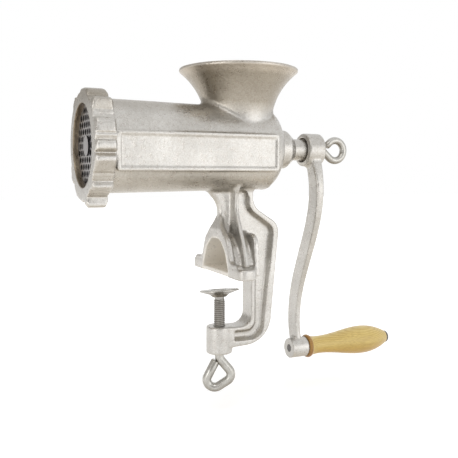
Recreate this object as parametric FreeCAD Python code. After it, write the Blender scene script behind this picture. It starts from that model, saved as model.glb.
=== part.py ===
"""Hand crank meat grinder with a screw clamp, for a 62 mm grinding plate.

Millimetres. The origin is the middle of the table seat, the flat underside of the upper
clamp jaw. +X runs along the barrel towards the crank, +Z is up.
"""
import FreeCAD
import Part
import math
import os

from FreeCAD import Vector

# Grinding plate, which gives the mincer its size
PLATE_R = 31.0
PLATE_THICKNESS = 7.5
PLATE_HUB_R = 7.0
PLATE_HUB_HEIGHT = 1.2
PLATE_HOLE_R = 2.2
PLATE_HOLE_PITCH = 5.6
PLATE_RIM_WIDTH = 3.4
PLATE_HUB_LAND = 0.4
KEY_R = 1.5
KEY_LENGTH = 8.0

# Clearances
RUNNING = 0.05            # shafts in holes
THREAD_PLAY = 0.06        # clamp and eye screws in their threaded holes
FACE_GAP = 0.3            # neighbouring faces of pieces that move past each other
SLIDE_GAP = 0.08          # squares that slide over squares

# Rear journal of the feed screw, and the square that drives it
JOURNAL_R = 8.4
DRIVE_SQUARE = 12.0
WASHER_R = JOURNAL_R + 4.6
WASHER_THICKNESS = 2.2

# Barrel and its mouth
AXIS_HEIGHT = 94.0        # barrel axis above the table seat
MOUTH_X = -107.0          # front end of the barrel, inside the ring nut
PLATE_SEAT = 3.5          # width of the shoulder round the bore, outside the knife
BORE_R = PLATE_R - PLATE_SEAT
BARREL_FRONT_WALL = 5.2
BARREL_REAR_WALL = 3.5
BARREL_FRONT_R = BORE_R + BARREL_FRONT_WALL
BARREL_REAR_R = BORE_R + BARREL_REAR_WALL
SHOULDER_X = 24.0         # where the rear end starts to round off
SHOULDER_R = 10.0
SHOULDER_SWEEP = 70.0     # degrees of rounding before the rear end runs on as a shallow cone
REAR_END_X = SHOULDER_X + 13.0    # where that cone meets the bearing boss
BORE_CONE_X = SHOULDER_X - 4.0    # where the bore starts to narrow
BORE_END_X = SHOULDER_X + 7.0     # inner face of the rear wall
BORE_END_R = WASHER_R + 2.0
MOUTH_THREAD_LENGTH = 9.0
THREAD_HEIGHT = 0.9       # radial room that the mouth's thread form takes up
MOUTH_COLLAR_LENGTH = 2.0
MOUTH_WALL = 2.6

# Rear bearing
BEARING_BOSS_R = JOURNAL_R + 6.4
BEARING_BOSS_END_X = REAR_END_X + 9.0
BEARING_NOSE_R = JOURNAL_R + 1.0
BEARING_NOSE_X = BEARING_BOSS_END_X + 6.5

# Flat side panels of the barrel
PANEL_FRONT_X = MOUTH_X + 11.0
PANEL_REAR_X = SHOULDER_X + 1.0
PANEL_TOP = 9.6           # above the barrel axis
PANEL_BOTTOM = -17.0
PANEL_FACE_Y = BARREL_FRONT_R - 0.1
PANEL_BORDER = 2.4
PANEL_DEPTH = 0.9
PANEL_CORNER_R = 2.0

# Hopper, with its heights above the barrel axis
HOPPER_X = 6.8
HOPPER_THROAT_R = 26.8
HOPPER_THROAT_Z = BARREL_REAR_R
HOPPER_NECK_R = HOPPER_THROAT_R - 0.7
HOPPER_NECK_Z = HOPPER_THROAT_Z - 18.0
HOPPER_FLARE_R = HOPPER_THROAT_R + 6.2
HOPPER_FLARE_Z = HOPPER_THROAT_Z + 13.5
HOPPER_RIM_R = 44.6
HOPPER_RIM_Z = HOPPER_THROAT_Z + 28.0
HOPPER_LIP = 2.2
HOPPER_LIP_R = 0.9        # rounding of the rim's two edges
HOPPER_WALL = 3.6
HOPPER_BLEND_R = 1.6

# Upper jaw: the pad that sits on the table, and the ribs above it
CAST_EDGE_R = 1.2         # rounding of the casting's free edges
PAD_THICKNESS = 7.5
PAD_ROOT_Z = PAD_THICKNESS / 2   # how deep the walls above it are rooted in the pad
PAD_FRONT_X = -12.5
PAD_HALF_WIDTH = 45.0
PAD_SCOOP = 4.5           # how far the middle of the front edge is drawn in
PAD_SCOOP_HALF = 23.0
PAD_SCOOP_SLANT = 8.0
PAD_SCOOP_R = 5.0
PAD_FOOT_R = 7.0
PAD_SIDE_END_X = -1.0
PAD_TAIL_X = 14.0
PAD_TAIL_HALF = 17.5
PAD_TAIL_R = 4.0
PAD_END_X = 18.0
PAD_END_HALF = 11.5
WEB_HALF = 3.7
LEG_FRONT_X = -10.2
LEG_STRAIGHT_TOP = 42.0   # below the barrel axis
LEG_FLARE = 9.0
LEG_FLARE_TOP = BARREL_REAR_R + 0.5     # below the barrel axis
LEG_TOP = BORE_R - 3.5    # below the barrel axis, inside the barrel before it is bored
LEG_FLARE_R = 6.0
LEG_STRAIGHT_R = 16.0
LEG_NOSE_R = 3.3
ARCH_INSET = 0.3
ARCH_THICKNESS = 4.4
ARCH_HEIGHT = 38.0
ARCH_SLOPE_Z = 34.0       # above this the arch leans back into the leg's front
ARCH_OUTLINE = (          # half width, height above the seat, corner radius
    (WEB_HALF, ARCH_HEIGHT + 6, 0), (WEB_HALF + 3, ARCH_HEIGHT, 14), (20.5, 26, 16),
    (26.5, PAD_THICKNESS + 3, 6), (40.5, PAD_THICKNESS + 3, 5), (41.5, 0, 0))
VAULT_HEIGHT = 26.5       # the hollow under the leg, open to the front
VAULT_FLOOR_Z = 3.5
VAULT_WALL = 3.2
VAULT_CROWN_HALF = 7.5
VAULT_CROWN_R = 8.0
VAULT_WAIST_HALF = 16.5
VAULT_WAIST_Z = 18.5
VAULT_WAIST_R = 14.0
VAULT_FOOT_HALF = 23.5
GUSSET_X = -1.5
GUSSET_THICKNESS = 3.2
GUSSET_NECK_HALF = 12.5
GUSSET_FOOT_HALF = 33.0
GUSSET_OUTLINE = (
    (GUSSET_NECK_HALF + 3.5, AXIS_HEIGHT - 20, 0), (GUSSET_NECK_HALF + 3.5, AXIS_HEIGHT - 27, 8),
    (GUSSET_NECK_HALF, AXIS_HEIGHT - 36, 22), (GUSSET_NECK_HALF + 0.5, AXIS_HEIGHT - 47, 20),
    (GUSSET_FOOT_HALF - 8, 24, 60), (GUSSET_FOOT_HALF, 0, 0))
REAR_RIB_X = 8.0
REAR_RIB_THICKNESS = 4.0
REAR_RIB_HALF = 28.0
REAR_RIB_HEIGHT = 31.0
REAR_RIB_TAPER = 3.0
REAR_RIB_CORNER_R = 9.0

# Clamp frame below and behind the jaw
FRAME_HALF = 8.5
FRAME_RIM = 4.8
FRAME_WEB_HALF = 3.4
FRAME_DRAFT = 2.2
SPINE_INNER_X = 15.0
SPINE_OUTER_X = SPINE_INNER_X + 23.8
SPINE_FOOT_X = SPINE_INNER_X + 15.5
SPINE_TOP_Z = 36.0
SPINE_TOP_R = 11.0
SPINE_FOOT_R = 22.0
SPINE_FOOT_LIFT = 2.0
NECK_REAR_X = 16.4
NECK_TAPER = 0.6
NECK_FOOT_Z = AXIS_HEIGHT - 43.5
NECK_FOOT_R = 12.0
ARM_TOP_Z = -41.5         # below the seat: the jaw's opening
ARM_BOTTOM_Z = ARM_TOP_Z - 16.0
ARM_INNER_R = 9.0
POCKET_TOP_Z = AXIS_HEIGHT - 37.0
POCKET_NECK_Z = AXIS_HEIGHT - 46.5
POCKET_SPINE_TOP_Z = SPINE_TOP_Z - 3.0
POCKET_JAW_Z = 12.0
POCKET_CORNER_R = 0.8
POCKET_JAW_R = FRAME_DRAFT + 0.8
POCKET_NECK_R = 14.0
POCKET_SPINE_R = 7.0
POCKET_FOOT_R = 17.0
POCKET_INNER_R = 12.0
POCKET_NECK_RIM = 5.5
POCKET_BOSS_GAP = 1.5
CLAMP_X = -8.5            # axis of the clamp screw
CLAMP_THREAD_R = 4.4
CLAMP_BOSS_R = CLAMP_THREAD_R + 5.6
CLAMP_BOSS_TOP_Z = ARM_TOP_Z + 0.7
CLAMP_BOSS_BOTTOM_Z = ARM_BOTTOM_Z - 4.3

# Clamp screw and its swivelling disc
CLAMP_ROD_R = CLAMP_THREAD_R - 0.9
CLAMP_LOOP_TURN = -25.0   # the loop's plane, turned about the screw's axis
CLAMP_LOOP_NECK = 4.5     # below the boss, where the rod bends aside
CLAMP_LOOP_SIDE = 11.8
CLAMP_LOOP_SIDE_DROP = 18.5
CLAMP_LOOP_FOOT = -16.2
CLAMP_LOOP_FOOT_DROP = 35.8
CLAMP_LOOP_END = -3.4
CLAMP_LOOP_END_DROP = 6.8
CLAMP_LOOP_BEND_R = CLAMP_ROD_R + 2.5
DISC_R = 15.2
DISC_TOP_Z = -13.0
DISC_THICKNESS = 2.0
DISC_DISH = 1.6
DISC_HUB_R = CLAMP_THREAD_R + 3.1
DISC_HUB_DEPTH = 3.6
RIVET_R = CLAMP_THREAD_R - 1.4
RIVET_HEAD_R = RIVET_R + 1.6
RIVET_HEAD_TOP_R = RIVET_HEAD_R - 0.8
RIVET_RECESS_R = RIVET_HEAD_R + 1.9
RIVET_RECESS_DEPTH = 1.0
DISC_EDGE = 0.8
DISC_EDGE_DEPTH = 1.1

# Ring nut and knife
RING_FRONT_X = MOUTH_X - 5.0
RING_WIDTH = 14.5
RING_LIP = 4.0
RING_COVER = 2.25         # how far the ring's lip covers the plate's edge
RING_WALL = 2.2           # over the thread, in the grooves between the lobes
RING_LOBE_HEIGHT = 3.0
RING_LOBES = (            # start and end of the uneven finger lobes of one half turn, in degrees
    (-88, -64), (-55, -37), (-28.5, -12), (-4.5, 4.5), (12, 27.5), (37, 56), (66, 84))
RING_FLANK = 2.2          # degrees from a lobe's edge to the groove's floor
RING_LOBE_BULGE = 0.4
RING_LOBE_CORNER_R = 1.2
RING_EDGE = 1.8
KNIFE_R = BORE_R - 1.5
KNIFE_THICKNESS = 7.5
KNIFE_HUB_R = 10.5
KNIFE_BLADES = 4
KNIFE_BLADE_ROOT = 9.0
KNIFE_BLADE_TIP = 6.5
KNIFE_SWEEP = 16.0        # degrees that a blade's tip trails its root
KNIFE_BEVEL = 3.0
KNIFE_REST_TURN = 20.0

# Auger and its steel stud
AUGER_CLEARANCE = 0.5
AUGER_PITCH = 36.0
AUGER_FLIGHT_ROOT = 8.0
AUGER_FLIGHT_TIP = 4.5
AUGER_CORE_FRONT_R = 15.0
AUGER_CORE_REAR_R = JOURNAL_R + 3.1
AUGER_FRONT_GAP = 0.6     # between knife and auger
STUD_SQUARE = 11.0
STUD_PIN_R = STUD_SQUARE / 2
STUD_THREAD_R = STUD_PIN_R - 0.5
STUD_THREAD_LENGTH = 15.0

# Crank
HUB_FRONT_X = BEARING_NOSE_X + 10.2
HUB_LENGTH = 16.0
HUB_R = JOURNAL_R + 4.6
HUB_FRONT_CHAMFER = 1.5
HUB_REAR_CHAMFER = 1.6
HUB_COUNTERBORE_R = JOURNAL_R + 1.0
HUB_COUNTERBORE_DEPTH = 2.0
HUB_REAR_WALL = 3.0
CRANK_REST_ANGLE = 6.6    # swing from straight down, towards the far side
CRANK_THROW = 166.5
ARM_WIDTH = 12.0
ARM_THICKNESS_HUB = 8.5
ARM_THICKNESS_BOSS = 5.4
ARM_EDGE_R = 1.8
ARM_UPPER_BULGE = 13.5
ARM_UPPER_BULGE_AT = 42.0
ARM_CROSSING_AT = 93.0
ARM_LOWER_BULGE = 8.3
ARM_LOWER_BULGE_AT = 133.0
ARM_STATIONS = 9
BOSS_FRONT_X = HUB_FRONT_X + 1.8
BOSS_LENGTH = 15.5
EYE_WIRE_R = 2.9
EYE_BEND_R = 8.1
EYE_LENGTH = 26.5         # from the hub's rear face to the loop's far side
EYE_THREAD_LENGTH = 11.0
EYE_THREAD_ROOM = 2.0     # depth of the threaded hole beyond the screw's tip
EYE_NECK_GAP = 0.6
EYE_NECK_BEND_R = 4.0
EYE_END_GAP = 6.2         # from the neck to the cut end of the wire

# Handle and the boss that carries it
PIN_R = 3.0
PIN_HEAD_R = PIN_R + 0.9
PIN_HEAD_LENGTH = 1.2
BOSS_R = PIN_R + 5.2
END_WASHER_R = PIN_R + 2.1
END_WASHER_THICKNESS = 1.4
GRIP_LENGTH = 82.5
GRIP_BEAD_R = BOSS_R + 1.5
GRIP_BEAD_LENGTH = 3.6
GRIP_NECK_R = 7.4
GRIP_NECK_AT = 14.0
GRIP_BELLY_R = 11.9
GRIP_BELLY_AT = 52.5
GRIP_END_R = END_WASHER_R + 0.3
GRIP_BEAD_ROUND = 1.0
GRIP_NECK_SLOPE = -0.40
GRIP_END_SLOPE = -0.55

CUT_PAST = 1.0            # how far a hole's cutter runs past the face it opens on
CORNER_SHARE = 0.48       # most of a straight run that the rounding of one corner may use

AXIS = Vector(0, 0, AXIS_HEIGHT)
X_DIR = Vector(1, 0, 0)
Y_DIR = Vector(0, 1, 0)
Z_DIR = Vector(0, 0, 1)

RING_REAR_X = RING_FRONT_X + RING_WIDTH
PLATE_FRONT_X = RING_FRONT_X + RING_LIP
PLATE_REAR_X = PLATE_FRONT_X + PLATE_THICKNESS
KNIFE_REAR_X = PLATE_REAR_X + KNIFE_THICKNESS
AUGER_FRONT_X = KNIFE_REAR_X + AUGER_FRONT_GAP
PLATE_POCKET_R = PLATE_R + FACE_GAP
MOUTH_MINOR_R = PLATE_POCKET_R + MOUTH_WALL
RING_BORE_R = MOUTH_MINOR_R + THREAD_HEIGHT
RING_OPENING_R = PLATE_R - RING_COVER
RING_GROOVE_R = RING_BORE_R + RING_WALL
RING_LOBE_R = RING_GROOVE_R + RING_LOBE_HEIGHT
MOUTH_THREAD_END_X = MOUTH_X + MOUTH_THREAD_LENGTH
WASHER_REAR_X = BORE_END_X - FACE_GAP
AUGER_REAR_X = WASHER_REAR_X - WASHER_THICKNESS
HUB_REAR_X = HUB_FRONT_X + HUB_LENGTH
SQUARE_START_X = HUB_FRONT_X + HUB_COUNTERBORE_DEPTH
SQUARE_END_X = HUB_REAR_X - HUB_REAR_WALL - FACE_GAP
EYE_TIP_X = HUB_REAR_X - HUB_REAR_WALL - EYE_THREAD_LENGTH
GRIP_FRONT_X = BOSS_FRONT_X + BOSS_LENGTH + FACE_GAP
GRIP_REAR_X = GRIP_FRONT_X + GRIP_LENGTH
DISC_BOTTOM_Z = DISC_TOP_Z - DISC_THICKNESS - DISC_HUB_DEPTH


def in_xz(u, v):
    return Vector(u, 0, v)


def in_yz(u, v):
    return Vector(0, u, v)


def in_xy(u, v):
    return Vector(u, v, 0)


def edges_through(corners, place, closed):
    """Straight runs through (u, v, radius) corners, each corner rounded by a tangent arc."""
    points = [place(u, v) for u, v, _ in corners]
    count = len(corners)
    starts = []
    ends = []
    arcs = []
    for i, (_, _, radius) in enumerate(corners):
        here = points[i]
        is_end = not closed and i in (0, count - 1)
        if radius == 0 or is_end:
            starts.append(here)
            ends.append(here)
            arcs.append(None)
            continue
        back = (points[i - 1] - here).normalize()
        ahead = (points[(i + 1) % count] - here).normalize()
        half = back.getAngle(ahead) / 2
        room = min(here.distanceToPoint(points[i - 1]), here.distanceToPoint(points[(i + 1) % count]))
        reach = min(radius / math.tan(half), room * CORNER_SHARE)
        radius = reach * math.tan(half)
        middle = (back + ahead).normalize()
        centre = here + middle * (radius / math.sin(half))
        first = here + back * reach
        last = here + ahead * reach
        starts.append(first)
        ends.append(last)
        arcs.append(Part.Arc(first, centre - middle * radius, last).toShape())
    edges = []
    for i in range(count if closed else count - 1):
        if arcs[i]:
            edges.append(arcs[i])
        after = (i + 1) % count
        if ends[i].distanceToPoint(starts[after]) > 1e-6:
            edges.append(Part.LineSegment(ends[i], starts[after]).toShape())
    return edges


def outline(corners, place):
    return Part.Wire(edges_through(corners, place, True))


def spread(corners, distance):
    """The same outline moved outwards, with its rounded corners kept concentric."""
    points = [in_xy(u, v) for u, v, _ in corners]
    runs = [(after - here).normalize() for here, after in zip(points, points[1:] + points[:1])]
    turns = [runs[i - 1].cross(runs[i]).z for i in range(len(runs))]
    side = 1 if sum(turns) > 0 else -1
    moved = []
    for i, (_, _, radius) in enumerate(corners):
        before = in_xy(runs[i - 1].y, -runs[i - 1].x) * side
        behind = in_xy(runs[i].y, -runs[i].x) * side
        point = points[i] + (before + behind) * (distance / (1 + before.dot(behind)))
        moved.append((point.x, point.y, radius + distance * math.copysign(1, turns[i] * side)))
    return moved


def open_path(corners, place):
    return Part.Wire(edges_through(corners, place, False))


def prism(corners, place, start, sweep):
    """A closed outline moved to start and extruded along sweep."""
    face = Part.Face(outline(corners, place))
    face.translate(start)
    return face.extrude(sweep)


def eased(solid, radius, chosen):
    """A solid with the chosen ones of its edges rounded, as a casting's are."""
    return solid.makeFillet(radius, [edge for edge in solid.Edges if chosen(edge.BoundBox)])


def across_x(box):
    return box.XLength < 1e-6


def revolve_x(wire):
    """A solid of revolution about the barrel axis, from a profile drawn about Z = 0."""
    solid = Part.Face(wire).revolve(Vector(), X_DIR, 360)
    solid.translate(AXIS)
    return solid


def revolve_z(wire, x):
    solid = Part.Face(wire).revolve(Vector(), Z_DIR, 360)
    solid.translate(Vector(x, 0, 0))
    return solid


def closed_profile(points):
    return Part.makePolygon([in_xz(u, v) for u, v in points + points[:1]])


def rod_x(radius, start, end, y=0.0, z=AXIS_HEIGHT):
    return Part.makeCylinder(radius, end - start, Vector(start, y, z), X_DIR)


def square_x(side, start, end):
    corner = Vector(start, -side / 2, AXIS_HEIGHT - side / 2)
    return Part.makeBox(end - start, side, side, corner)


def pipe(path, radius):
    """A round wire of one thickness along a path of lines and tangent arcs."""
    first = path.Edges[0]
    direction = first.tangentAt(first.FirstParameter)
    circle = Part.Wire(Part.makeCircle(radius, first.valueAt(first.FirstParameter), direction))
    return path.makePipeShell([circle], True, False)


def one_solid(shape):
    cleaned = shape.removeSplitter()
    return cleaned.Solids[0] if len(cleaned.Solids) == 1 else cleaned


def barrel_blank():
    """Outside of the barrel: threaded mouth, tapered tube, domed rear end and bearing boss."""
    collar_x = MOUTH_THREAD_END_X + MOUTH_COLLAR_LENGTH
    shoulder = []
    for share in (0, 0.5, 1):
        angle = math.radians(SHOULDER_SWEEP * share)
        shoulder.append(in_xz(SHOULDER_X + SHOULDER_R * math.sin(angle),
                              BARREL_REAR_R - SHOULDER_R * (1 - math.cos(angle))))
    tube = [in_xz(MOUTH_X, 0), in_xz(MOUTH_X, MOUTH_MINOR_R), in_xz(MOUTH_THREAD_END_X, MOUTH_MINOR_R),
            in_xz(collar_x, BARREL_FRONT_R), shoulder[0]]
    rear = [shoulder[2], in_xz(REAR_END_X, BEARING_BOSS_R), in_xz(BEARING_BOSS_END_X, BEARING_BOSS_R),
            in_xz(BEARING_NOSE_X, BEARING_NOSE_R), in_xz(BEARING_NOSE_X, 0), tube[0]]
    edges = [Part.LineSegment(a, b).toShape() for a, b in zip(tube, tube[1:])]
    edges.append(Part.Arc(*shoulder).toShape())
    edges += [Part.LineSegment(a, b).toShape() for a, b in zip(rear, rear[1:])]
    return revolve_x(Part.Wire(edges))


def hopper_profile(inset, top, lip_turn, bottom):
    """Half section of the flared hopper; inset is how far inside the outer skin it lies.

    The lip's edge is rounded inwards (lip_turn -1) on the skin, outwards (1) on the hollow.
    """
    lip_z = AXIS_HEIGHT + HOPPER_RIM_Z - HOPPER_LIP
    rim = in_xz(HOPPER_RIM_R - inset, lip_z)
    flare = in_xz(HOPPER_FLARE_R - inset, AXIS_HEIGHT + HOPPER_FLARE_Z)
    throat = in_xz(HOPPER_THROAT_R - inset, AXIS_HEIGHT + HOPPER_THROAT_Z)
    neck = in_xz(HOPPER_NECK_R - inset, AXIS_HEIGHT + HOPPER_NECK_Z)
    curve = Part.BSplineCurve()
    curve.interpolate([rim, flare, throat, neck])
    foot = in_xz(neck.x, bottom)
    lip_top = in_xz(rim.x + lip_turn * HOPPER_LIP_R, top)
    lip_side = in_xz(rim.x, top - HOPPER_LIP_R)
    bend = HOPPER_LIP_R * (1 - math.sqrt(0.5))
    lip_middle = in_xz(rim.x + lip_turn * bend, top - bend)
    points = [neck, foot, in_xz(0, bottom), in_xz(0, top), lip_top]
    edges = [curve.toShape(), Part.LineSegment(lip_side, rim).toShape(),
             Part.Arc(lip_top, lip_middle, lip_side).toShape()]
    edges += [Part.LineSegment(a, b).toShape() for a, b in zip(points, points[1:])]
    return Part.Wire(Part.sortEdges(edges)[0])


def hopper_blank():
    return revolve_z(hopper_profile(0, AXIS_HEIGHT + HOPPER_RIM_Z, -1, AXIS_HEIGHT), HOPPER_X)


def hopper_hollow():
    return revolve_z(hopper_profile(HOPPER_WALL, AXIS_HEIGHT + HOPPER_RIM_Z, 1, AXIS_HEIGHT), HOPPER_X)


def barrel_with_hopper():
    """Barrel and hopper as one skin, blended where they meet."""
    joined = barrel_blank().fuse(hopper_blank()).removeSplitter()
    reach = HOPPER_THROAT_R + 1
    seam_edges = []
    for edge in joined.Edges:
        box = edge.BoundBox
        in_height = box.ZMin > AXIS_HEIGHT + HOPPER_NECK_Z and box.ZMax < AXIS_HEIGHT + BARREL_FRONT_R + 1
        in_length = box.XMin > HOPPER_X - reach and box.XMax < HOPPER_X + reach
        if in_height and in_length and box.YLength > 1:
            seam_edges.append(edge)
    return joined.makeFillet(HOPPER_BLEND_R, seam_edges)


def rounded_box(left, right, low, high, radius):
    return [(left, low, radius), (right, low, radius), (right, high, radius), (left, high, radius)]


def side_panel(side):
    """A flat panel on the barrel's side, with a raised border round a bare field."""
    low = AXIS_HEIGHT + PANEL_BOTTOM
    high = AXIS_HEIGHT + PANEL_TOP
    face_y = side * PANEL_FACE_Y
    block = prism(rounded_box(PANEL_FRONT_X, PANEL_REAR_X, low, high, PANEL_CORNER_R), in_xz,
                  Vector(), Vector(0, face_y, 0))
    inner = rounded_box(PANEL_FRONT_X + PANEL_BORDER, PANEL_REAR_X - PANEL_BORDER,
                        low + PANEL_BORDER, high - PANEL_BORDER, PANEL_CORNER_R / 2)
    field_y = side * (PANEL_FACE_Y - PANEL_DEPTH)
    field = prism(inner, in_xz, Vector(0, field_y, 0), Vector(0, side * 2 * PANEL_DEPTH, 0))
    return block, field


def jaw_pad():
    """The flat pad under the jaw: two rounded feet, a drawn-in front edge, a narrowing rear."""
    half = [(PAD_FRONT_X + PAD_SCOOP, PAD_SCOOP_HALF - PAD_SCOOP_SLANT, PAD_SCOOP_R),
            (PAD_FRONT_X, PAD_SCOOP_HALF, PAD_SCOOP_R), (PAD_FRONT_X, PAD_HALF_WIDTH, PAD_FOOT_R),
            (PAD_SIDE_END_X, PAD_HALF_WIDTH, PAD_FOOT_R), (PAD_TAIL_X, PAD_TAIL_HALF, PAD_TAIL_R),
            (PAD_END_X, PAD_END_HALF, 0)]
    corners = half + [(x, -y, radius) for x, y, radius in reversed(half)]
    pad = prism(corners, in_xy, Vector(), Vector(0, 0, PAD_THICKNESS))
    return eased(pad, CAST_EDGE_R, lambda box: box.ZMin > PAD_THICKNESS / 2)


def mirrored_outline(half, place, start, sweep):
    """A prism whose outline is given for one side and mirrored to the other."""
    corners = [(u, v, r) for u, v, r in half] + [(-u, v, r) for u, v, r in reversed(half)]
    return prism(corners, place, start, sweep)


def arch_plate():
    """The front wall of the jaw, spread like an A over the two feet."""
    front_x = PAD_FRONT_X + ARCH_INSET
    wall = mirrored_outline(ARCH_OUTLINE, in_yz, Vector(front_x, 0, 0), Vector(ARCH_THICKNESS, 0, 0))
    wall = eased(wall, CAST_EDGE_R, across_x)
    top = ARCH_HEIGHT + 6 + CUT_PAST
    slope = [(front_x - CUT_PAST, ARCH_SLOPE_Z, 0), (front_x, ARCH_SLOPE_Z, 0),
             (LEG_FRONT_X + CUT_PAST, top, 0), (front_x - CUT_PAST, top, 0)]
    across = Vector(0, ARCH_HEIGHT, 0)
    return wall.cut(prism(slope, in_xz, -across, 2 * across))


def vault(grown, foot_z, start_x, end_x):
    """An arched passage along the barrel's direction, grown outwards by a wall's thickness."""
    half = [(VAULT_CROWN_HALF + grown / 2, VAULT_HEIGHT + grown, VAULT_CROWN_R + grown),
            (VAULT_WAIST_HALF + grown, VAULT_WAIST_Z + grown / 2, VAULT_WAIST_R + grown),
            (VAULT_FOOT_HALF + grown, foot_z, 0)]
    return mirrored_outline(half, in_yz, Vector(start_x, 0, 0), Vector(end_x - start_x, 0, 0))


def vault_wall():
    """The shell between the arch and the rear rib, around the hollow under the leg."""
    start_x = PAD_FRONT_X + ARCH_INSET + ARCH_THICKNESS / 2
    return vault(VAULT_WALL, PAD_ROOT_Z, start_x, REAR_RIB_X + REAR_RIB_THICKNESS / 2)


def vault_hollow():
    return vault(0, VAULT_FLOOR_Z, PAD_FRONT_X - CUT_PAST, REAR_RIB_X)


def gusset():
    """The cross wall of the leg, from the barrel down to the pad."""
    wall = mirrored_outline(GUSSET_OUTLINE, in_yz, Vector(GUSSET_X, 0, 0), Vector(GUSSET_THICKNESS, 0, 0))
    return eased(wall, CAST_EDGE_R, across_x)


def rear_rib():
    half = [(REAR_RIB_HALF - REAR_RIB_TAPER, REAR_RIB_HEIGHT, REAR_RIB_CORNER_R), (REAR_RIB_HALF, 0, 0)]
    rib = mirrored_outline(half, in_yz, Vector(REAR_RIB_X, 0, 0), Vector(REAR_RIB_THICKNESS, 0, 0))
    return eased(rib, CAST_EDGE_R, across_x)


def leg_web():
    """The middle wall of the leg, with its rounded front edge, from the barrel to the pad."""
    top = AXIS_HEIGHT - LEG_TOP
    flare_x = LEG_FRONT_X - LEG_FLARE
    corners = [(flare_x - LEG_FLARE, top, 0), (flare_x, AXIS_HEIGHT - LEG_FLARE_TOP, LEG_FLARE_R),
               (LEG_FRONT_X, AXIS_HEIGHT - LEG_STRAIGHT_TOP, LEG_STRAIGHT_R), (LEG_FRONT_X, PAD_ROOT_Z, 0),
               (SPINE_INNER_X, PAD_ROOT_Z, 0), (SPINE_INNER_X, top, 0)]
    web = prism(corners, in_xz, Vector(0, -WEB_HALF, 0), Vector(0, 2 * WEB_HALF, 0))
    nose_edges = []
    for edge in web.Edges:
        box = edge.BoundBox
        if box.XMax < LEG_FRONT_X + CUT_PAST and box.ZLength > LEG_FLARE_R:
            nose_edges.append(edge)
    return web.makeFillet(LEG_NOSE_R, nose_edges)


def frame_blank():
    """Side outline of the clamp frame, at the full width of its rims."""
    top = AXIS_HEIGHT - LEG_TOP
    corners = [(GUSSET_X, top, 0), (NECK_REAR_X - NECK_TAPER, top, 0),
               (NECK_REAR_X, NECK_FOOT_Z, NECK_FOOT_R), (SPINE_OUTER_X, SPINE_TOP_Z, SPINE_TOP_R),
               (SPINE_FOOT_X, ARM_BOTTOM_Z + SPINE_FOOT_LIFT, SPINE_FOOT_R), (CLAMP_X, ARM_BOTTOM_Z, 0),
               (CLAMP_X, ARM_TOP_Z, 0), (SPINE_INNER_X, ARM_TOP_Z, ARM_INNER_R),
               (SPINE_INNER_X, PAD_ROOT_Z, 0), (GUSSET_X, PAD_ROOT_Z, 0)]
    frame = prism(corners, in_xz, Vector(0, -FRAME_HALF, 0), Vector(0, 2 * FRAME_HALF, 0))
    return eased(frame, CAST_EDGE_R, lambda box: box.YLength < 1e-6)


def frame_pocket(side):
    """The recess that leaves the frame's web between its two rims, with sloping walls."""
    rim = FRAME_RIM + FRAME_DRAFT
    front_x = GUSSET_X - rim
    neck_x = NECK_REAR_X - POCKET_NECK_RIM
    inner_x = SPINE_INNER_X + FRAME_RIM
    boss_x = CLAMP_X + CLAMP_BOSS_R + POCKET_BOSS_GAP + FRAME_DRAFT
    arm_z = ARM_TOP_Z - FRAME_RIM
    corners = [(front_x, POCKET_TOP_Z, POCKET_CORNER_R), (neck_x, POCKET_TOP_Z, POCKET_CORNER_R),
               (neck_x, POCKET_NECK_Z, POCKET_NECK_R),
               (SPINE_OUTER_X - rim, POCKET_SPINE_TOP_Z, POCKET_SPINE_R),
               (SPINE_FOOT_X - rim, ARM_BOTTOM_Z + rim, POCKET_FOOT_R),
               (boss_x, ARM_BOTTOM_Z + rim, POCKET_CORNER_R), (boss_x, arm_z, POCKET_CORNER_R),
               (inner_x, arm_z, POCKET_INNER_R), (inner_x, POCKET_JAW_Z, POCKET_JAW_R),
               (front_x, POCKET_JAW_Z, POCKET_CORNER_R)]
    floor_wire = outline(corners, in_xz)
    floor_wire.translate(Vector(0, side * FRAME_WEB_HALF, 0))
    mouth_wire = outline(spread(corners, FRAME_DRAFT), in_xz)
    mouth_wire.translate(Vector(0, side * (FRAME_HALF + RUNNING), 0))
    return Part.makeLoft([floor_wire, mouth_wire], True, True)


def clamp_boss():
    boss = Part.makeCylinder(CLAMP_BOSS_R, CLAMP_BOSS_TOP_Z - CLAMP_BOSS_BOTTOM_Z,
                             Vector(CLAMP_X, 0, CLAMP_BOSS_BOTTOM_Z))
    return eased(boss, CAST_EDGE_R, lambda box: box.ZLength < 1e-6)


def feed_space(front_x, inset):
    """Room for the feed screw: straight bore and conical end; inset is how far inside the wall."""
    radius = BORE_R - inset
    end_x = BORE_END_X - inset
    return revolve_x(closed_profile([(front_x, 0), (front_x, radius), (BORE_CONE_X - inset, radius),
                                     (end_x, BORE_END_R - inset), (end_x, 0)]))


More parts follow.
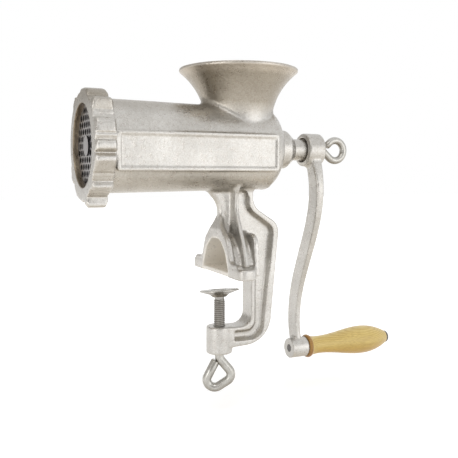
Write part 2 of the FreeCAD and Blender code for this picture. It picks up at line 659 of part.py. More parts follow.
def casting():
    """Barrel, hopper, leg and clamp frame: one casting, bored for what turns inside it."""
    shell = barrel_with_hopper()
    fields = []
    for side in (-1, 1):
        block, field = side_panel(side)
        shell = shell.fuse(block)
        fields.append(field)
    frame = frame_blank()
    for side in (-1, 1):
        frame = frame.cut(frame_pocket(side))
    jaw = [jaw_pad(), arch_plate(), vault_wall(), gusset(), rear_rib()]
    shell = shell.fuse([frame, clamp_boss(), leg_web()] + jaw)
    bore = feed_space(PLATE_REAR_X, 0)
    plate_pocket = rod_x(PLATE_POCKET_R, MOUTH_X - CUT_PAST, KNIFE_REAR_X)
    bearing = rod_x(JOURNAL_R + RUNNING, BORE_END_X - CUT_PAST, BEARING_NOSE_X + CUT_PAST)
    screw_hole = Part.makeCylinder(CLAMP_THREAD_R + THREAD_PLAY,
                                   CLAMP_BOSS_TOP_Z - CLAMP_BOSS_BOTTOM_Z + 2 * CUT_PAST,
                                   Vector(CLAMP_X, 0, CLAMP_BOSS_BOTTOM_Z - CUT_PAST))
    cuts = fields + [bore, plate_pocket, bearing, hopper_hollow(), vault_hollow(), screw_hole, plate_key()]
    return one_solid(shell.cut(cuts))


def plate_key():
    """A small pin let into the mouth's wall, which stops the plate from turning."""
    return rod_x(KEY_R, MOUTH_X, MOUTH_X + KEY_LENGTH, 0, AXIS_HEIGHT - PLATE_POCKET_R)


def ring_outline():
    """Uneven finger lobes, the same on both halves of the ring."""
    crown = RING_LOBE_R + RING_LOBE_BULGE
    corners = []
    for half_turn in (0, 180):
        for start, end in RING_LOBES:
            easing = RING_LOBE_CORNER_R
            lobe = [(start - RING_FLANK, RING_GROOVE_R, easing), (start, RING_LOBE_R, easing),
                    ((start + end) / 2, crown, RING_LOBE_R), (end, RING_LOBE_R, easing),
                    (end + RING_FLANK, RING_GROOVE_R, easing)]
            for degrees, radius, corner in lobe:
                angle = math.radians(degrees + half_turn)
                corners.append((-radius * math.cos(angle), radius * math.sin(angle), corner))
    return corners


def ring_nut():
    blank = prism(ring_outline(), in_yz, Vector(RING_FRONT_X, 0, AXIS_HEIGHT), Vector(RING_WIDTH, 0, 0))
    crown = RING_LOBE_R + RING_LOBE_BULGE
    eased = closed_profile([(RING_FRONT_X, 0), (RING_FRONT_X, crown - RING_EDGE),
                            (RING_FRONT_X + RING_EDGE, crown), (RING_REAR_X - RING_EDGE, crown),
                            (RING_REAR_X, crown - RING_EDGE), (RING_REAR_X, 0)])
    opening = rod_x(RING_OPENING_R, RING_FRONT_X - CUT_PAST, RING_REAR_X)
    thread = rod_x(RING_BORE_R, PLATE_FRONT_X, RING_REAR_X + CUT_PAST)
    return one_solid(blank.common(revolve_x(eased)).cut([opening, thread]))


def plate_hole_places():
    """Hexagonal grid of holes between the plate's hub and its rim."""
    row_step = PLATE_HOLE_PITCH * math.sqrt(3) / 2
    rows = int(PLATE_R / row_step)
    outer = PLATE_R - PLATE_RIM_WIDTH - PLATE_HOLE_R / 2
    inner = PLATE_HUB_R + PLATE_HOLE_R + PLATE_HUB_LAND
    places = []
    for row in range(-rows, rows + 1):
        shift = PLATE_HOLE_PITCH / 2 if row % 2 else 0.0
        for column in range(-rows, rows + 1):
            y = column * PLATE_HOLE_PITCH + shift
            z = row * row_step
            if inner <= math.hypot(y, z) <= outer:
                places.append((y, z))
    return places


def grinding_plate():
    disc = rod_x(PLATE_R, PLATE_FRONT_X, PLATE_REAR_X)
    hub_x = PLATE_FRONT_X - PLATE_HUB_HEIGHT
    hub = rod_x(PLATE_HUB_R, hub_x, PLATE_REAR_X)
    front_x = hub_x - CUT_PAST
    rear_x = PLATE_REAR_X + CUT_PAST
    holes = [rod_x(PLATE_HOLE_R, front_x, rear_x, y, AXIS_HEIGHT + z) for y, z in plate_hole_places()]
    centre = rod_x(STUD_PIN_R + RUNNING, front_x, rear_x)
    notch = rod_x(KEY_R + FACE_GAP, front_x, rear_x, 0, AXIS_HEIGHT - PLATE_POCKET_R)
    return one_solid(disc.fuse(hub).cut(holes + [centre, notch]))


def knife_blade():
    """One blade, swept back from root to tip, bevelled on its trailing back edge."""
    sweep = math.radians(KNIFE_SWEEP)
    tip = Vector(0, KNIFE_R * math.sin(sweep), KNIFE_R * math.cos(sweep))
    across = Vector(0, math.cos(sweep / 2), -math.sin(sweep / 2))
    root_half = across * (KNIFE_BLADE_ROOT / 2)
    tip_half = across * (KNIFE_BLADE_TIP / 2)
    points = [root_half * -1, tip - tip_half, tip + tip_half, root_half]
    blade = Part.Face(Part.makePolygon(points + points[:1])).extrude(Vector(KNIFE_THICKNESS, 0, 0))
    trailing = []
    for edge in blade.Edges:
        box = edge.BoundBox
        at_back = box.XMin > KNIFE_THICKNESS / 2
        behind = edge.CenterOfMass.dot(across) > tip.dot(across) / 2 + KNIFE_BLADE_TIP / 4
        if at_back and behind and edge.Length > KNIFE_R / 2:
            trailing.append(edge)
    return blade.makeChamfer(KNIFE_BEVEL, trailing)


def knife():
    """Four-bladed cross knife, flat against the plate, on the stud's square."""
    blades = []
    for i in range(KNIFE_BLADES):
        blade = knife_blade()
        blade.rotate(Vector(), X_DIR, i * 360 / KNIFE_BLADES + KNIFE_REST_TURN)
        blade.translate(Vector(PLATE_REAR_X, 0, AXIS_HEIGHT))
        blades.append(blade)
    tips = rod_x(KNIFE_R, PLATE_REAR_X, KNIFE_REAR_X)
    body = blades[0].fuse(blades[1:]).common(tips)
    body = body.fuse(rod_x(KNIFE_HUB_R, PLATE_REAR_X, KNIFE_REAR_X))
    hole = square_x(STUD_SQUARE + 2 * SLIDE_GAP, PLATE_REAR_X - CUT_PAST, KNIFE_REAR_X + CUT_PAST)
    return one_solid(body.cut(hole))


def auger_flight(start, end):
    """The left-handed feed flight, thick at its root and thinner at its tip."""
    inner_r = AUGER_CORE_REAR_R - AUGER_FLIGHT_TIP
    outer_r = BORE_R + AUGER_CLEARANCE
    helix = Part.makeLongHelix(AUGER_PITCH, end - start, inner_r, 0, True)
    section = [Vector(inner_r, 0, -AUGER_FLIGHT_ROOT / 2), Vector(outer_r, 0, -AUGER_FLIGHT_TIP / 2),
               Vector(outer_r, 0, AUGER_FLIGHT_TIP / 2), Vector(inner_r, 0, AUGER_FLIGHT_ROOT / 2)]
    profile = Part.makePolygon(section + section[:1])
    flight = Part.Wire(helix.Edges).makePipeShell([profile], True, True)
    flight.rotate(Vector(), Y_DIR, 90)
    flight.translate(Vector(start, 0, AXIS_HEIGHT))
    return flight


def auger():
    """Feed screw: tapering core, helical flight, rear journal and the square for the crank."""
    core = revolve_x(closed_profile([(AUGER_FRONT_X, 0), (AUGER_FRONT_X, AUGER_CORE_FRONT_R),
                                     (AUGER_REAR_X, AUGER_CORE_REAR_R), (AUGER_REAR_X, 0)]))
    flight = auger_flight(AUGER_FRONT_X - AUGER_FLIGHT_ROOT, AUGER_REAR_X - AUGER_FLIGHT_ROOT)
    space = feed_space(AUGER_FRONT_X, AUGER_CLEARANCE).common(rod_x(BORE_R, AUGER_FRONT_X, AUGER_REAR_X))
    screw = core.fuse(flight.common(space))
    journal = rod_x(JOURNAL_R, AUGER_REAR_X - CUT_PAST, SQUARE_START_X)
    square = square_x(DRIVE_SQUARE, SQUARE_START_X - CUT_PAST, SQUARE_END_X)
    square = square.common(rod_x(JOURNAL_R, SQUARE_START_X - CUT_PAST, SQUARE_END_X))
    stud_hole = rod_x(STUD_THREAD_R, AUGER_FRONT_X - CUT_PAST, AUGER_FRONT_X + STUD_THREAD_LENGTH)
    eye_hole = rod_x(EYE_WIRE_R + THREAD_PLAY, EYE_TIP_X - EYE_THREAD_ROOM, SQUARE_END_X + CUT_PAST)
    return one_solid(screw.fuse([journal, square]).cut([stud_hole, eye_hole]))


def auger_stud():
    """Steel stud screwed into the auger's front: the knife's square and the plate's pin."""
    thread = rod_x(STUD_THREAD_R, AUGER_FRONT_X, AUGER_FRONT_X + STUD_THREAD_LENGTH)
    square = square_x(STUD_SQUARE, PLATE_REAR_X + FACE_GAP, AUGER_FRONT_X)
    pin = rod_x(STUD_PIN_R, PLATE_FRONT_X - PLATE_HUB_HEIGHT, PLATE_REAR_X + CUT_PAST)
    return one_solid(thread.fuse([square, pin]))


def thrust_washer():
    ring = rod_x(WASHER_R, AUGER_REAR_X, WASHER_REAR_X)
    return ring.cut(rod_x(JOURNAL_R + RUNNING, AUGER_REAR_X - CUT_PAST, WASHER_REAR_X + CUT_PAST))


def arm_curve():
    """Centre line of the crank arm in its own plane, hanging straight down from the hub."""
    curve = Part.BSplineCurve()
    curve.interpolate([in_yz(0, 0), in_yz(-ARM_UPPER_BULGE, -ARM_UPPER_BULGE_AT), in_yz(0, -ARM_CROSSING_AT),
                       in_yz(ARM_LOWER_BULGE, -ARM_LOWER_BULGE_AT), in_yz(0, -CRANK_THROW)])
    return curve


def arm_section(centre, across, thickness):
    """Rounded rectangle across the arm: width along across, thickness along the crank's axis."""
    half_w = ARM_WIDTH / 2
    half_t = thickness / 2
    corners = [(-half_w, -half_t, ARM_EDGE_R), (half_w, -half_t, ARM_EDGE_R),
               (half_w, half_t, ARM_EDGE_R), (-half_w, half_t, ARM_EDGE_R)]

    def place(u, v):
        return centre + across * u + X_DIR * v
    return outline(corners, place)


def arm():
    curve = arm_curve()
    first = curve.FirstParameter
    span = curve.LastParameter - first
    middle_x = HUB_FRONT_X + HUB_LENGTH / 2
    boss_x = BOSS_FRONT_X + BOSS_LENGTH / 2
    sections = []
    for i in range(ARM_STATIONS):
        share = i / (ARM_STATIONS - 1)
        at = first + span * share
        tangent = curve.tangent(at)[0]
        across = tangent.cross(X_DIR).normalize()
        thickness = ARM_THICKNESS_HUB + (ARM_THICKNESS_BOSS - ARM_THICKNESS_HUB) * share
        centre = curve.value(at) + X_DIR * (middle_x + (boss_x - middle_x) * share)
        sections.append(arm_section(centre, across, thickness))
    return Part.makeLoft(sections, True, False)


def crank_point(x):
    """The handle's axis at the crank's rest angle, at a place along X."""
    swing = math.radians(CRANK_REST_ANGLE)
    return Vector(x, CRANK_THROW * math.sin(swing), AXIS_HEIGHT - CRANK_THROW * math.cos(swing))


def handle_rod(radius, start, end):
    at = crank_point(start)
    return Part.makeCylinder(radius, end - start, at, X_DIR)


def crank_arm():
    """Cast crank: hub on the auger's square, S-shaped arm, boss for the handle's pin."""
    swung = arm()
    swung.translate(AXIS)
    swung.rotate(AXIS, X_DIR, CRANK_REST_ANGLE)
    hub = revolve_x(closed_profile([(HUB_FRONT_X, 0), (HUB_FRONT_X, HUB_R - HUB_FRONT_CHAMFER),
                                    (HUB_FRONT_X + HUB_FRONT_CHAMFER, HUB_R),
                                    (HUB_REAR_X - HUB_REAR_CHAMFER, HUB_R),
                                    (HUB_REAR_X, HUB_R - HUB_REAR_CHAMFER),
                                    (HUB_REAR_X, 0)]))
    boss = handle_rod(BOSS_R, BOSS_FRONT_X, BOSS_FRONT_X + BOSS_LENGTH)
    counterbore = rod_x(HUB_COUNTERBORE_R, HUB_FRONT_X - CUT_PAST, HUB_FRONT_X + HUB_COUNTERBORE_DEPTH)
    square = square_x(DRIVE_SQUARE + 2 * SLIDE_GAP, HUB_FRONT_X, HUB_REAR_X - HUB_REAR_WALL)
    eye_hole = rod_x(EYE_WIRE_R + FACE_GAP, HUB_FRONT_X, HUB_REAR_X + CUT_PAST)
    pin_hole = handle_rod(PIN_R, BOSS_FRONT_X - CUT_PAST, GRIP_FRONT_X)
    return one_solid(hub.fuse([swung, boss]).cut([counterbore, square, eye_hole, pin_hole]))


def eye_screw():
    """Screw with a bent teardrop eye, which holds the crank on the auger's square."""
    neck_x = HUB_REAR_X + EYE_WIRE_R + EYE_NECK_GAP
    far_x = HUB_REAR_X + EYE_LENGTH - EYE_WIRE_R
    centre_x = far_x - EYE_BEND_R
    reach = centre_x - neck_x
    lean = math.asin(EYE_BEND_R / reach)
    tangent_length = reach * math.cos(lean)
    lower = in_xz(neck_x + tangent_length * math.cos(lean), -tangent_length * math.sin(lean))
    upper = in_xz(lower.x, -lower.z)
    neck = in_xz(neck_x, 0)
    stop = neck + (upper - neck).normalize() * EYE_END_GAP
    lead = edges_through([(EYE_TIP_X, 0, 0), (neck_x, 0, EYE_NECK_BEND_R), (lower.x, lower.z, 0)],
                         in_xz, False)
    bend = Part.Arc(lower, in_xz(far_x, 0), upper).toShape()
    tail = Part.LineSegment(upper, stop).toShape()
    wire = pipe(Part.Wire(lead + [bend, tail]), EYE_WIRE_R)
    wire.translate(AXIS)
    return one_solid(wire)


def grip_profile():
    """Half section of the turned handle: bead, waist, belly and tapered end."""
    bead_r = GRIP_BEAD_R - GRIP_BEAD_ROUND
    bead_start = in_xz(0, bead_r)
    bead_end = in_xz(GRIP_BEAD_LENGTH, bead_r)
    grip_end = in_xz(GRIP_LENGTH, GRIP_END_R)
    curve = Part.BSplineCurve()
    neck = in_xz(GRIP_NECK_AT, GRIP_NECK_R)
    belly = in_xz(GRIP_BELLY_AT, GRIP_BELLY_R)
    curve.interpolate([bead_end, neck, belly, grip_end],
                      InitialTangent=in_xz(1, GRIP_NECK_SLOPE), FinalTangent=in_xz(1, GRIP_END_SLOPE))
    bead = Part.Arc(bead_start, in_xz(GRIP_BEAD_LENGTH / 2, GRIP_BEAD_R), bead_end).toShape()
    close = [grip_end, in_xz(GRIP_LENGTH, PIN_R + RUNNING), in_xz(0, PIN_R + RUNNING), bead_start]
    edges = [bead, curve.toShape()]
    edges += [Part.LineSegment(a, b).toShape() for a, b in zip(close, close[1:])]
    return Part.Wire(edges)


def handle_grip():
    grip = Part.Face(grip_profile()).revolve(Vector(), X_DIR, 360)
    grip.translate(crank_point(GRIP_FRONT_X))
    return grip


def handle_washer():
    start = GRIP_REAR_X + FACE_GAP
    disc = handle_rod(END_WASHER_R, start, start + END_WASHER_THICKNESS)
    return disc.cut(handle_rod(PIN_R, start - CUT_PAST, start + END_WASHER_THICKNESS + CUT_PAST))


def handle_pin():
    """Riveted through the crank's boss, with a head over the washer at the far end."""
    shoulder = GRIP_REAR_X + FACE_GAP + END_WASHER_THICKNESS
    shaft = handle_rod(PIN_R, BOSS_FRONT_X, shoulder)
    head = handle_rod(PIN_HEAD_R, shoulder, shoulder + PIN_HEAD_LENGTH)
    return one_solid(shaft.fuse(head))


def clamp_loop():
    """Bent handle of the clamp screw: a three-cornered loop whose cut end comes back to the neck."""
    top = CLAMP_BOSS_BOTTOM_Z
    corners = [(0, top + 2 * CLAMP_LOOP_NECK, 0), (0, top - CLAMP_LOOP_NECK, CLAMP_LOOP_BEND_R),
               (CLAMP_LOOP_SIDE, top - CLAMP_LOOP_SIDE_DROP, CLAMP_LOOP_BEND_R),
               (CLAMP_LOOP_FOOT, top - CLAMP_LOOP_FOOT_DROP, CLAMP_LOOP_BEND_R),
               (CLAMP_LOOP_END, top - CLAMP_LOOP_END_DROP, 0)]
    loop = pipe(open_path(corners, in_xz), CLAMP_ROD_R)
    loop.rotate(Vector(), Z_DIR, CLAMP_LOOP_TURN)
    loop.translate(Vector(CLAMP_X, 0, 0))
    return loop


def clamp_screw():
    """Threaded rod through the frame's boss, riveted loosely into the disc at its top."""
    collar_top = DISC_BOTTOM_Z - FACE_GAP
    recess_z = DISC_TOP_Z - RIVET_RECESS_DEPTH
    head_z = recess_z + FACE_GAP / 2
    thread = Part.makeCylinder(CLAMP_THREAD_R, collar_top - CLAMP_BOSS_BOTTOM_Z,
                               Vector(CLAMP_X, 0, CLAMP_BOSS_BOTTOM_Z))
    neck = Part.makeCylinder(RIVET_R, head_z - collar_top, Vector(CLAMP_X, 0, collar_top))
    head = Part.makeCone(RIVET_HEAD_R, RIVET_HEAD_TOP_R, RIVET_RECESS_DEPTH - FACE_GAP,
                         Vector(CLAMP_X, 0, head_z))
    return one_solid(thread.fuse([neck, head, clamp_loop()]))


def clamp_disc():
    """Dished disc that presses under the table, loose on the screw's riveted tip."""
    rim_low = DISC_TOP_Z - DISC_THICKNESS
    recess_z = DISC_TOP_Z - RIVET_RECESS_DEPTH
    bore = RIVET_R + RUNNING
    half = [(bore, recess_z), (RIVET_RECESS_R, recess_z), (RIVET_RECESS_R, DISC_TOP_Z),
            (DISC_R - DISC_EDGE, DISC_TOP_Z), (DISC_R, DISC_TOP_Z - DISC_EDGE_DEPTH / 2),
            (DISC_R, DISC_TOP_Z - DISC_EDGE_DEPTH), (DISC_HUB_R, rim_low - DISC_DISH),
            (CLAMP_THREAD_R + DISC_EDGE, DISC_BOTTOM_Z), (bore, DISC_BOTTOM_Z)]
    return revolve_z(closed_profile(half), CLAMP_X)


def build():
    return {
        "body_casting": casting(),
        "plate_key": plate_key(),
        "auger": auger(),
        "auger_stud": auger_stud(),
        "thrust_washer": thrust_washer(),
        "knife": knife(),
        "grinding_plate": grinding_plate(),
        "ring_nut": ring_nut(),
        "crank_arm": crank_arm(),
        "crank_eye_screw": eye_screw(),
        "handle_grip": handle_grip(),
        "handle_pin": handle_pin(),
        "handle_washer": handle_washer(),
        "clamp_screw": clamp_screw(),
        "clamp_disc": clamp_disc(),
    }


os.makedirs("parts", exist_ok=True)
for name, shape in build().items():
    print(name, "solids", len(shape.Solids), "valid", shape.isValid(), "volume %.0f" % shape.Volume)
    shape.exportStep("parts/%s.step" % name)
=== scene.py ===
"""Looks of a hand crank meat grinder: cast skins, cut threads, turned wood, light and camera.

Metres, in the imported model's own frame: +X along the barrel to the crank, +Z up.
"""

import math

import bmesh
import bpy
import numpy
from mathutils import Matrix, Quaternion, Vector


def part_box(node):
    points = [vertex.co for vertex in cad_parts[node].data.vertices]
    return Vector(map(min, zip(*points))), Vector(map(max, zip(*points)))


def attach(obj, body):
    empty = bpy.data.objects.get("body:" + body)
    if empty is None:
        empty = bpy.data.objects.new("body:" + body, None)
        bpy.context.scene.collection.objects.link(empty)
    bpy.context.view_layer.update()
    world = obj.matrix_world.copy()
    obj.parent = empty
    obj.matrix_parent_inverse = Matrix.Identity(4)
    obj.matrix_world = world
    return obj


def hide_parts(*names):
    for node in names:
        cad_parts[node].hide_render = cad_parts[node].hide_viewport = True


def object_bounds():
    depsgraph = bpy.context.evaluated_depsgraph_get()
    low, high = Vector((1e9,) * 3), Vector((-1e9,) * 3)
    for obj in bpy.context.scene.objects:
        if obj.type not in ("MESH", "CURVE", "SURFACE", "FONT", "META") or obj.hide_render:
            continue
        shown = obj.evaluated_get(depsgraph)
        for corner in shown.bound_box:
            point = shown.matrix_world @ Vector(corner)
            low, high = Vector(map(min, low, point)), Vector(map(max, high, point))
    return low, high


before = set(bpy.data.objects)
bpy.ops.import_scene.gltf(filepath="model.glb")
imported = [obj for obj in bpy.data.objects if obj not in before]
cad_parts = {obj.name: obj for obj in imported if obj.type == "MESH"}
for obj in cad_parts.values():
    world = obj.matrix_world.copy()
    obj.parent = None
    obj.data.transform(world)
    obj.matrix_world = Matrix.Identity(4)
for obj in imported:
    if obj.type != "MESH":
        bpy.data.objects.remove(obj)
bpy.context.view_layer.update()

MM = 0.001

# Camera, fitted to the photograph
CAMERA_AT = Vector((-0.2129, -0.4549, 0.0764))
CAMERA_YAW = math.radians(25.02)      # from looking along +Y, towards +X
CAMERA_PITCH = math.radians(4.93)     # downwards
CAMERA_ROLL = math.radians(0.2)
CAMERA_LENS = 51.94                   # in mm, like the sensor's width
CAMERA_SENSOR = 36

# Light of the room, where 1 is white, and where it changes, by direction
LEFT_LIGHT = 0.6
LEFT_EDGE = -0.2
RIGHT_EDGE = 0.06
CAMERA_SIDE_LIGHT = 0.65              # the unlit side of the room, behind the camera
CAMERA_SIDE_EDGE = 0.68
CAMERA_SIDE_CORE = 0.94

# Floor: its own glow under the object and away from it, and where that rises, in metres
FLOOR_HALF = 4.0
FLOOR_GLOW_NEAR = 0.3
FLOOR_GLOW_FAR = 0.6
FLOOR_GLOW_START = 0.1
FLOOR_GLOW_END = 0.6

# Lamps: name, place, width and power
LAMP_TARGET = Vector((0, 0, 0.06))
LAMPS = (
    ("right_box", Vector((0.6, -1.0, 0.04)), 1.1, 2.8),
    ("left_box", Vector((-1.0, -0.5, 0.06)), 0.6, 2.0),
    ("key_box", Vector((-0.45, -0.65, 1.0)), 0.8, 2.7))

# Threads: pitches, radii and depths of the cut
MOUTH_PITCH = 3.0 * MM
MOUTH_ROOT_R = 33.9 * MM
MOUTH_CREST_R = 34.6 * MM
RING_ROOT_R = 34.8 * MM
RING_CREST_R = 34.1 * MM
MOUTH_THREAD_TURNS = 2.2
MOUTH_THREAD_GAP = 0.9                # turns left plain at the nut's rear
CLAMP_PITCH = 1.5 * MM
CLAMP_DEPTH = 0.75 * MM
CLAMP_THREAD_R = 4.4 * MM
EYE_PITCH = 1.0 * MM
EYE_DEPTH = 0.5 * MM
OVERLAP = MM                          # how far joined rods and threads run into each other

# Clamp screw and its bent handle, measured from the boss's underside and the screw's axis
CLAMP_BOSS_Z = -61.8 * MM
CLAMP_COLLAR = 1.4 * MM               # plain neck under the disc
CLAMP_NECK_GAP = 0.4 * MM             # from the neck's end to the disc's top
CLAMP_TRAVEL = 20 * MM                # room below for the screw to back out
LOOP_ROD_R = 3.5 * MM
LOOP_TURN = math.radians(-25)
LOOP_BEND_R = 6.0 * MM
LOOP_CORNERS = ((0, 9), (0, -4.5), (11.8, -18.5), (-19.2, -39.3), (-2.6, -6.4))   # across and up, mm

# Swivel disc's lean, as in the photograph
DISC_LEAN_FRONT = math.radians(-7)    # the near edge up
DISC_LEAN_SIDE = math.radians(-4)     # the right edge up

# Eye screw, measured from its tip
EYE_NECK = 17.5 * MM
EYE_NECK_BEND_R = 4.0 * MM
EYE_END_GAP = 4.8 * MM
EYE_THREAD_END = 14.6 * MM

# Upper ends of the clamp frame's side pockets, at the barrel
POCKET_FLOOR_Y = 3.4 * MM
POCKET_FRONT_X = 2.4 * MM
POCKET_REAR_X = 11.4 * MM
POCKET_TOP_Z = 53 * MM
POCKET_END_Z = 62.8 * MM
POCKET_OUTER_Y = 14 * MM

# Lower ends of the same pockets, at the clamp's boss
POCKET_BOSS_X = 0.6 * MM
POCKET_ARM_X = 6.2 * MM
POCKET_ARM_BOTTOM_Z = -50.5 * MM
POCKET_ARM_TOP_Z = -46.3 * MM
POCKET_DRAFT = 4.5 * MM               # how far their edges slope apart towards the frame's sides

# Crank's arm: flatter than the CAD's, fading out towards hub and boss
ARM_THINNING = 0.82
ARM_WIDENING = 1.2
ARM_FADE = 14 * MM
ARM_HUB_GAP = 14 * MM                 # from the barrel's axis
ARM_BOSS_GAP = 9 * MM                 # from the handle's axis

# Casting's filled inner corners: radii by height above the barrel's axis, in mm
FILLET_HEIGHTS = (-40, -33, -29, -16, 5, 26)
FILLET_RADII = (0.7, 3, 3, 0, 0, 3)
FILLET_FADE = 2 * MM
BORE_OUTER_R = 29 * MM
BORE_END_X = 26 * MM

# Crank's filled inner corners, which start outside its hub
CRANK_FILLET_R = 1.8 * MM
CRANK_FILLET_FADE = 1.5 * MM
CRANK_HUB_R = 10.5 * MM

# Uneven skin of the castings
SKIN_WAVE = 9 * MM
SKIN_DEPTH = 0.16 * MM

# Hollow under the leg, brightened by painted light: section about the X axis, and its rear end
CORE_HALF = 25.1 * MM
CORE_HEIGHT = 28.5 * MM
CORE_END_X = 8.6 * MM
CORE_EDGE = 0.955                     # share of the section where its painted light starts to end

# Ring nut's opening, darkened by painted shade: its wall and how far back it goes
OPENING_R = 29.0 * MM
OPENING_END_X = -100 * MM

# Plate's unpierced rim starts here
PLATE_RIM_R = 29.5 * MM

# Soft edges between two looks, across the barrel's axis and along it
BLUR_ACROSS = 0.5 * MM
BLUR_ALONG = 1.0 * MM
DOWN_FACING = -0.75                   # a normal's Z from which a face counts as an underside, in painted shade

# Handle's wood: the heart of its growth rings from the pin, and the bead that holds the varnish
WOOD_HEART_Y = 6 * MM
WOOD_HEART_Z = -38 * MM
BEAD_LENGTH = 6 * MM

# Ring nut's uneven lobes: start and end in degrees up from the near side, radius at both in mm
RING_WALL_R = 36.0 * MM
RING_FLOOR_R = 37.0 * MM
RING_FLANK = 1.6                      # degrees from a lobe's edge to the floor between lobes
RING_EASE = 0.25                      # share of a lobe's width that is rounded at each end
RING_DROP = 0.8 * MM                  # how far the rounding falls
RING_LOBES = (
    (-157, -140, 41.8, 43.0), (-132, -83, 40.2, 39.2), (-81, -71, 43.2, 43.4), (-50, -42, 40.2, 40.8),
    (-28, -10.5, 38.6, 41.0), (-6, 3.1, 40.8, 40.8), (5.5, 25, 40.2, 41.2), (33, 46, 38.6, 43.2),
    (63, 92, 39.6, 39.0), (118, 131.5, 40.2, 40.6))


def middle(node):
    low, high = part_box(node)
    return (low + high) / 2


AXIS_Z = middle("grinding_plate").z
HOPPER_FOOT_Z = AXIS_Z + 22 * MM      # where painted shade starts, towards the hopper's flare
HOPPER_RIM_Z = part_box("body_casting")[1].z
CLAMP_AXIS = middle("clamp_disc")
HANDLE_AXIS = middle("handle_pin")


def add_piece(name, mesh, body, slot, material, *nodes):
    """A new piece that rides on a body and stands for the given CAD nodes."""
    piece = bpy.data.objects.new(name, mesh)
    bpy.context.scene.collection.objects.link(piece)
    piece.data.materials.clear()
    piece.data.materials.append(material)
    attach(piece, body)
    if nodes:
        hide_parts(*nodes)
    return piece


def smooth_faces(mesh):
    for polygon in mesh.polygons:
        polygon.use_smooth = True


def bake(piece):
    """Puts the result of a piece's modifiers into its mesh."""
    depsgraph = bpy.context.evaluated_depsgraph_get()
    made = bpy.data.meshes.new_from_object(piece.evaluated_get(depsgraph))
    piece.modifiers.clear()
    piece.data = made
    smooth_faces(made)


def mesh_from(build, name):
    """A mesh with outward faces, merged points and smooth shading from a bmesh."""
    bmesh.ops.remove_doubles(build, verts=build.verts, dist=1e-6)
    bmesh.ops.recalc_face_normals(build, faces=build.faces)
    mesh = bpy.data.meshes.new(name)
    build.to_mesh(mesh)
    build.free()
    smooth_faces(mesh)
    return mesh


# Materials

def new_material(name):
    material = bpy.data.materials.new(name)
    material.use_nodes = True
    tree = material.node_tree
    return material, tree, tree.nodes["Principled BSDF"]


def add_node(tree, kind, inputs=(), **settings):
    node = tree.nodes.new(kind)
    for key, value in settings.items():
        setattr(node, key, value)
    for key, value in dict(inputs).items():
        node.inputs[key].default_value = value
    return node


def object_coordinates(tree, offset=(0, 0, 0), scale=(1, 1, 1)):
    """Coordinates of the piece itself, so that a pattern moves with it."""
    source = add_node(tree, "ShaderNodeTexCoord")
    mapping = add_node(tree, "ShaderNodeMapping", {"Location": offset, "Scale": scale})
    tree.links.new(source.outputs["Object"], mapping.inputs["Vector"])
    return mapping.outputs["Vector"]


def noise(tree, vector, size, detail=3.0, roughness=0.55):
    """Noise with features of about the given size, from 0 to 1."""
    node = add_node(tree, "ShaderNodeTexNoise",
                    {"Scale": 1 / size, "Detail": detail, "Roughness": roughness})
    tree.links.new(vector, node.inputs["Vector"])
    return node.outputs["Fac"]


def spread_to(tree, value, low, high, start=0.3, end=0.7):
    """The value's range from start to end, spread from low to high."""
    node = add_node(tree, "ShaderNodeMapRange",
                    {"From Min": start, "From Max": end, "To Min": low, "To Max": high})
    tree.links.new(value, node.inputs["Value"])
    return node.outputs["Result"]


def colour_ramp(tree, value, *stops):
    """Colours between (position, (r, g, b)) stops."""
    node = add_node(tree, "ShaderNodeValToRGB")
    elements = node.color_ramp.elements
    while len(elements) < len(stops):
        elements.new(0.5)
    for element, (position, colour) in zip(elements, stops):
        element.position = position
        element.color = (*colour, 1)
    tree.links.new(value, node.inputs["Fac"])
    return node.outputs["Color"]


def multiply(tree, first, second):
    """Product of two colours."""
    node = add_node(tree, "ShaderNodeMix", data_type="RGBA", blend_type="MULTIPLY")
    node.inputs["Factor"].default_value = 1
    tree.links.new(first, node.inputs["A"])
    tree.links.new(second, node.inputs["B"])
    return node.outputs["Result"]


def product(tree, first, second):
    """Product of two values."""
    node = add_node(tree, "ShaderNodeMath", operation="MULTIPLY")
    tree.links.new(first, node.inputs[0])
    tree.links.new(second, node.inputs[1])
    return node.outputs[0]


def bump(tree, height, depth, after=None):
    """A relief of the given depth, on top of an earlier one if there is one."""
    node = add_node(tree, "ShaderNodeBump", {"Strength": 1.0, "Distance": depth})
    tree.links.new(height, node.inputs["Height"])
    if after:
        tree.links.new(after, node.inputs["Normal"])
    return node.outputs["Normal"]


def larger(tree, first, second):
    """The larger of two values."""
    node = add_node(tree, "ShaderNodeMath", operation="MAXIMUM")
    tree.links.new(first, node.inputs[0])
    tree.links.new(second, node.inputs[1])
    return node.outputs[0]


def facing(tree):
    """The surface's direction, as X, Y and Z outputs in the piece's own axes."""
    split = add_node(tree, "ShaderNodeSeparateXYZ")
    normal = add_node(tree, "ShaderNodeTexCoord").outputs["Normal"]
    tree.links.new(normal, split.inputs["Vector"])
    return split.outputs


def distance_from_axis(tree):
    """How far a point is from the barrel's axis."""
    node = add_node(tree, "ShaderNodeVectorMath", operation="LENGTH")
    across = object_coordinates(tree, offset=(0, 0, -AXIS_Z), scale=(0, 1, 1))
    tree.links.new(across, node.inputs[0])
    return node.outputs["Value"]


def painted_underside_shade(tree, colour, tint):
    """The colour, darkened by painted shade on faces that look down."""
    level = spread_to(tree, facing(tree)["Z"], 0, 1, DOWN_FACING, 0.0)
    below = colour_ramp(tree, level, (0.0, tint), (1.0, (1, 1, 1)))
    return multiply(tree, colour, below)


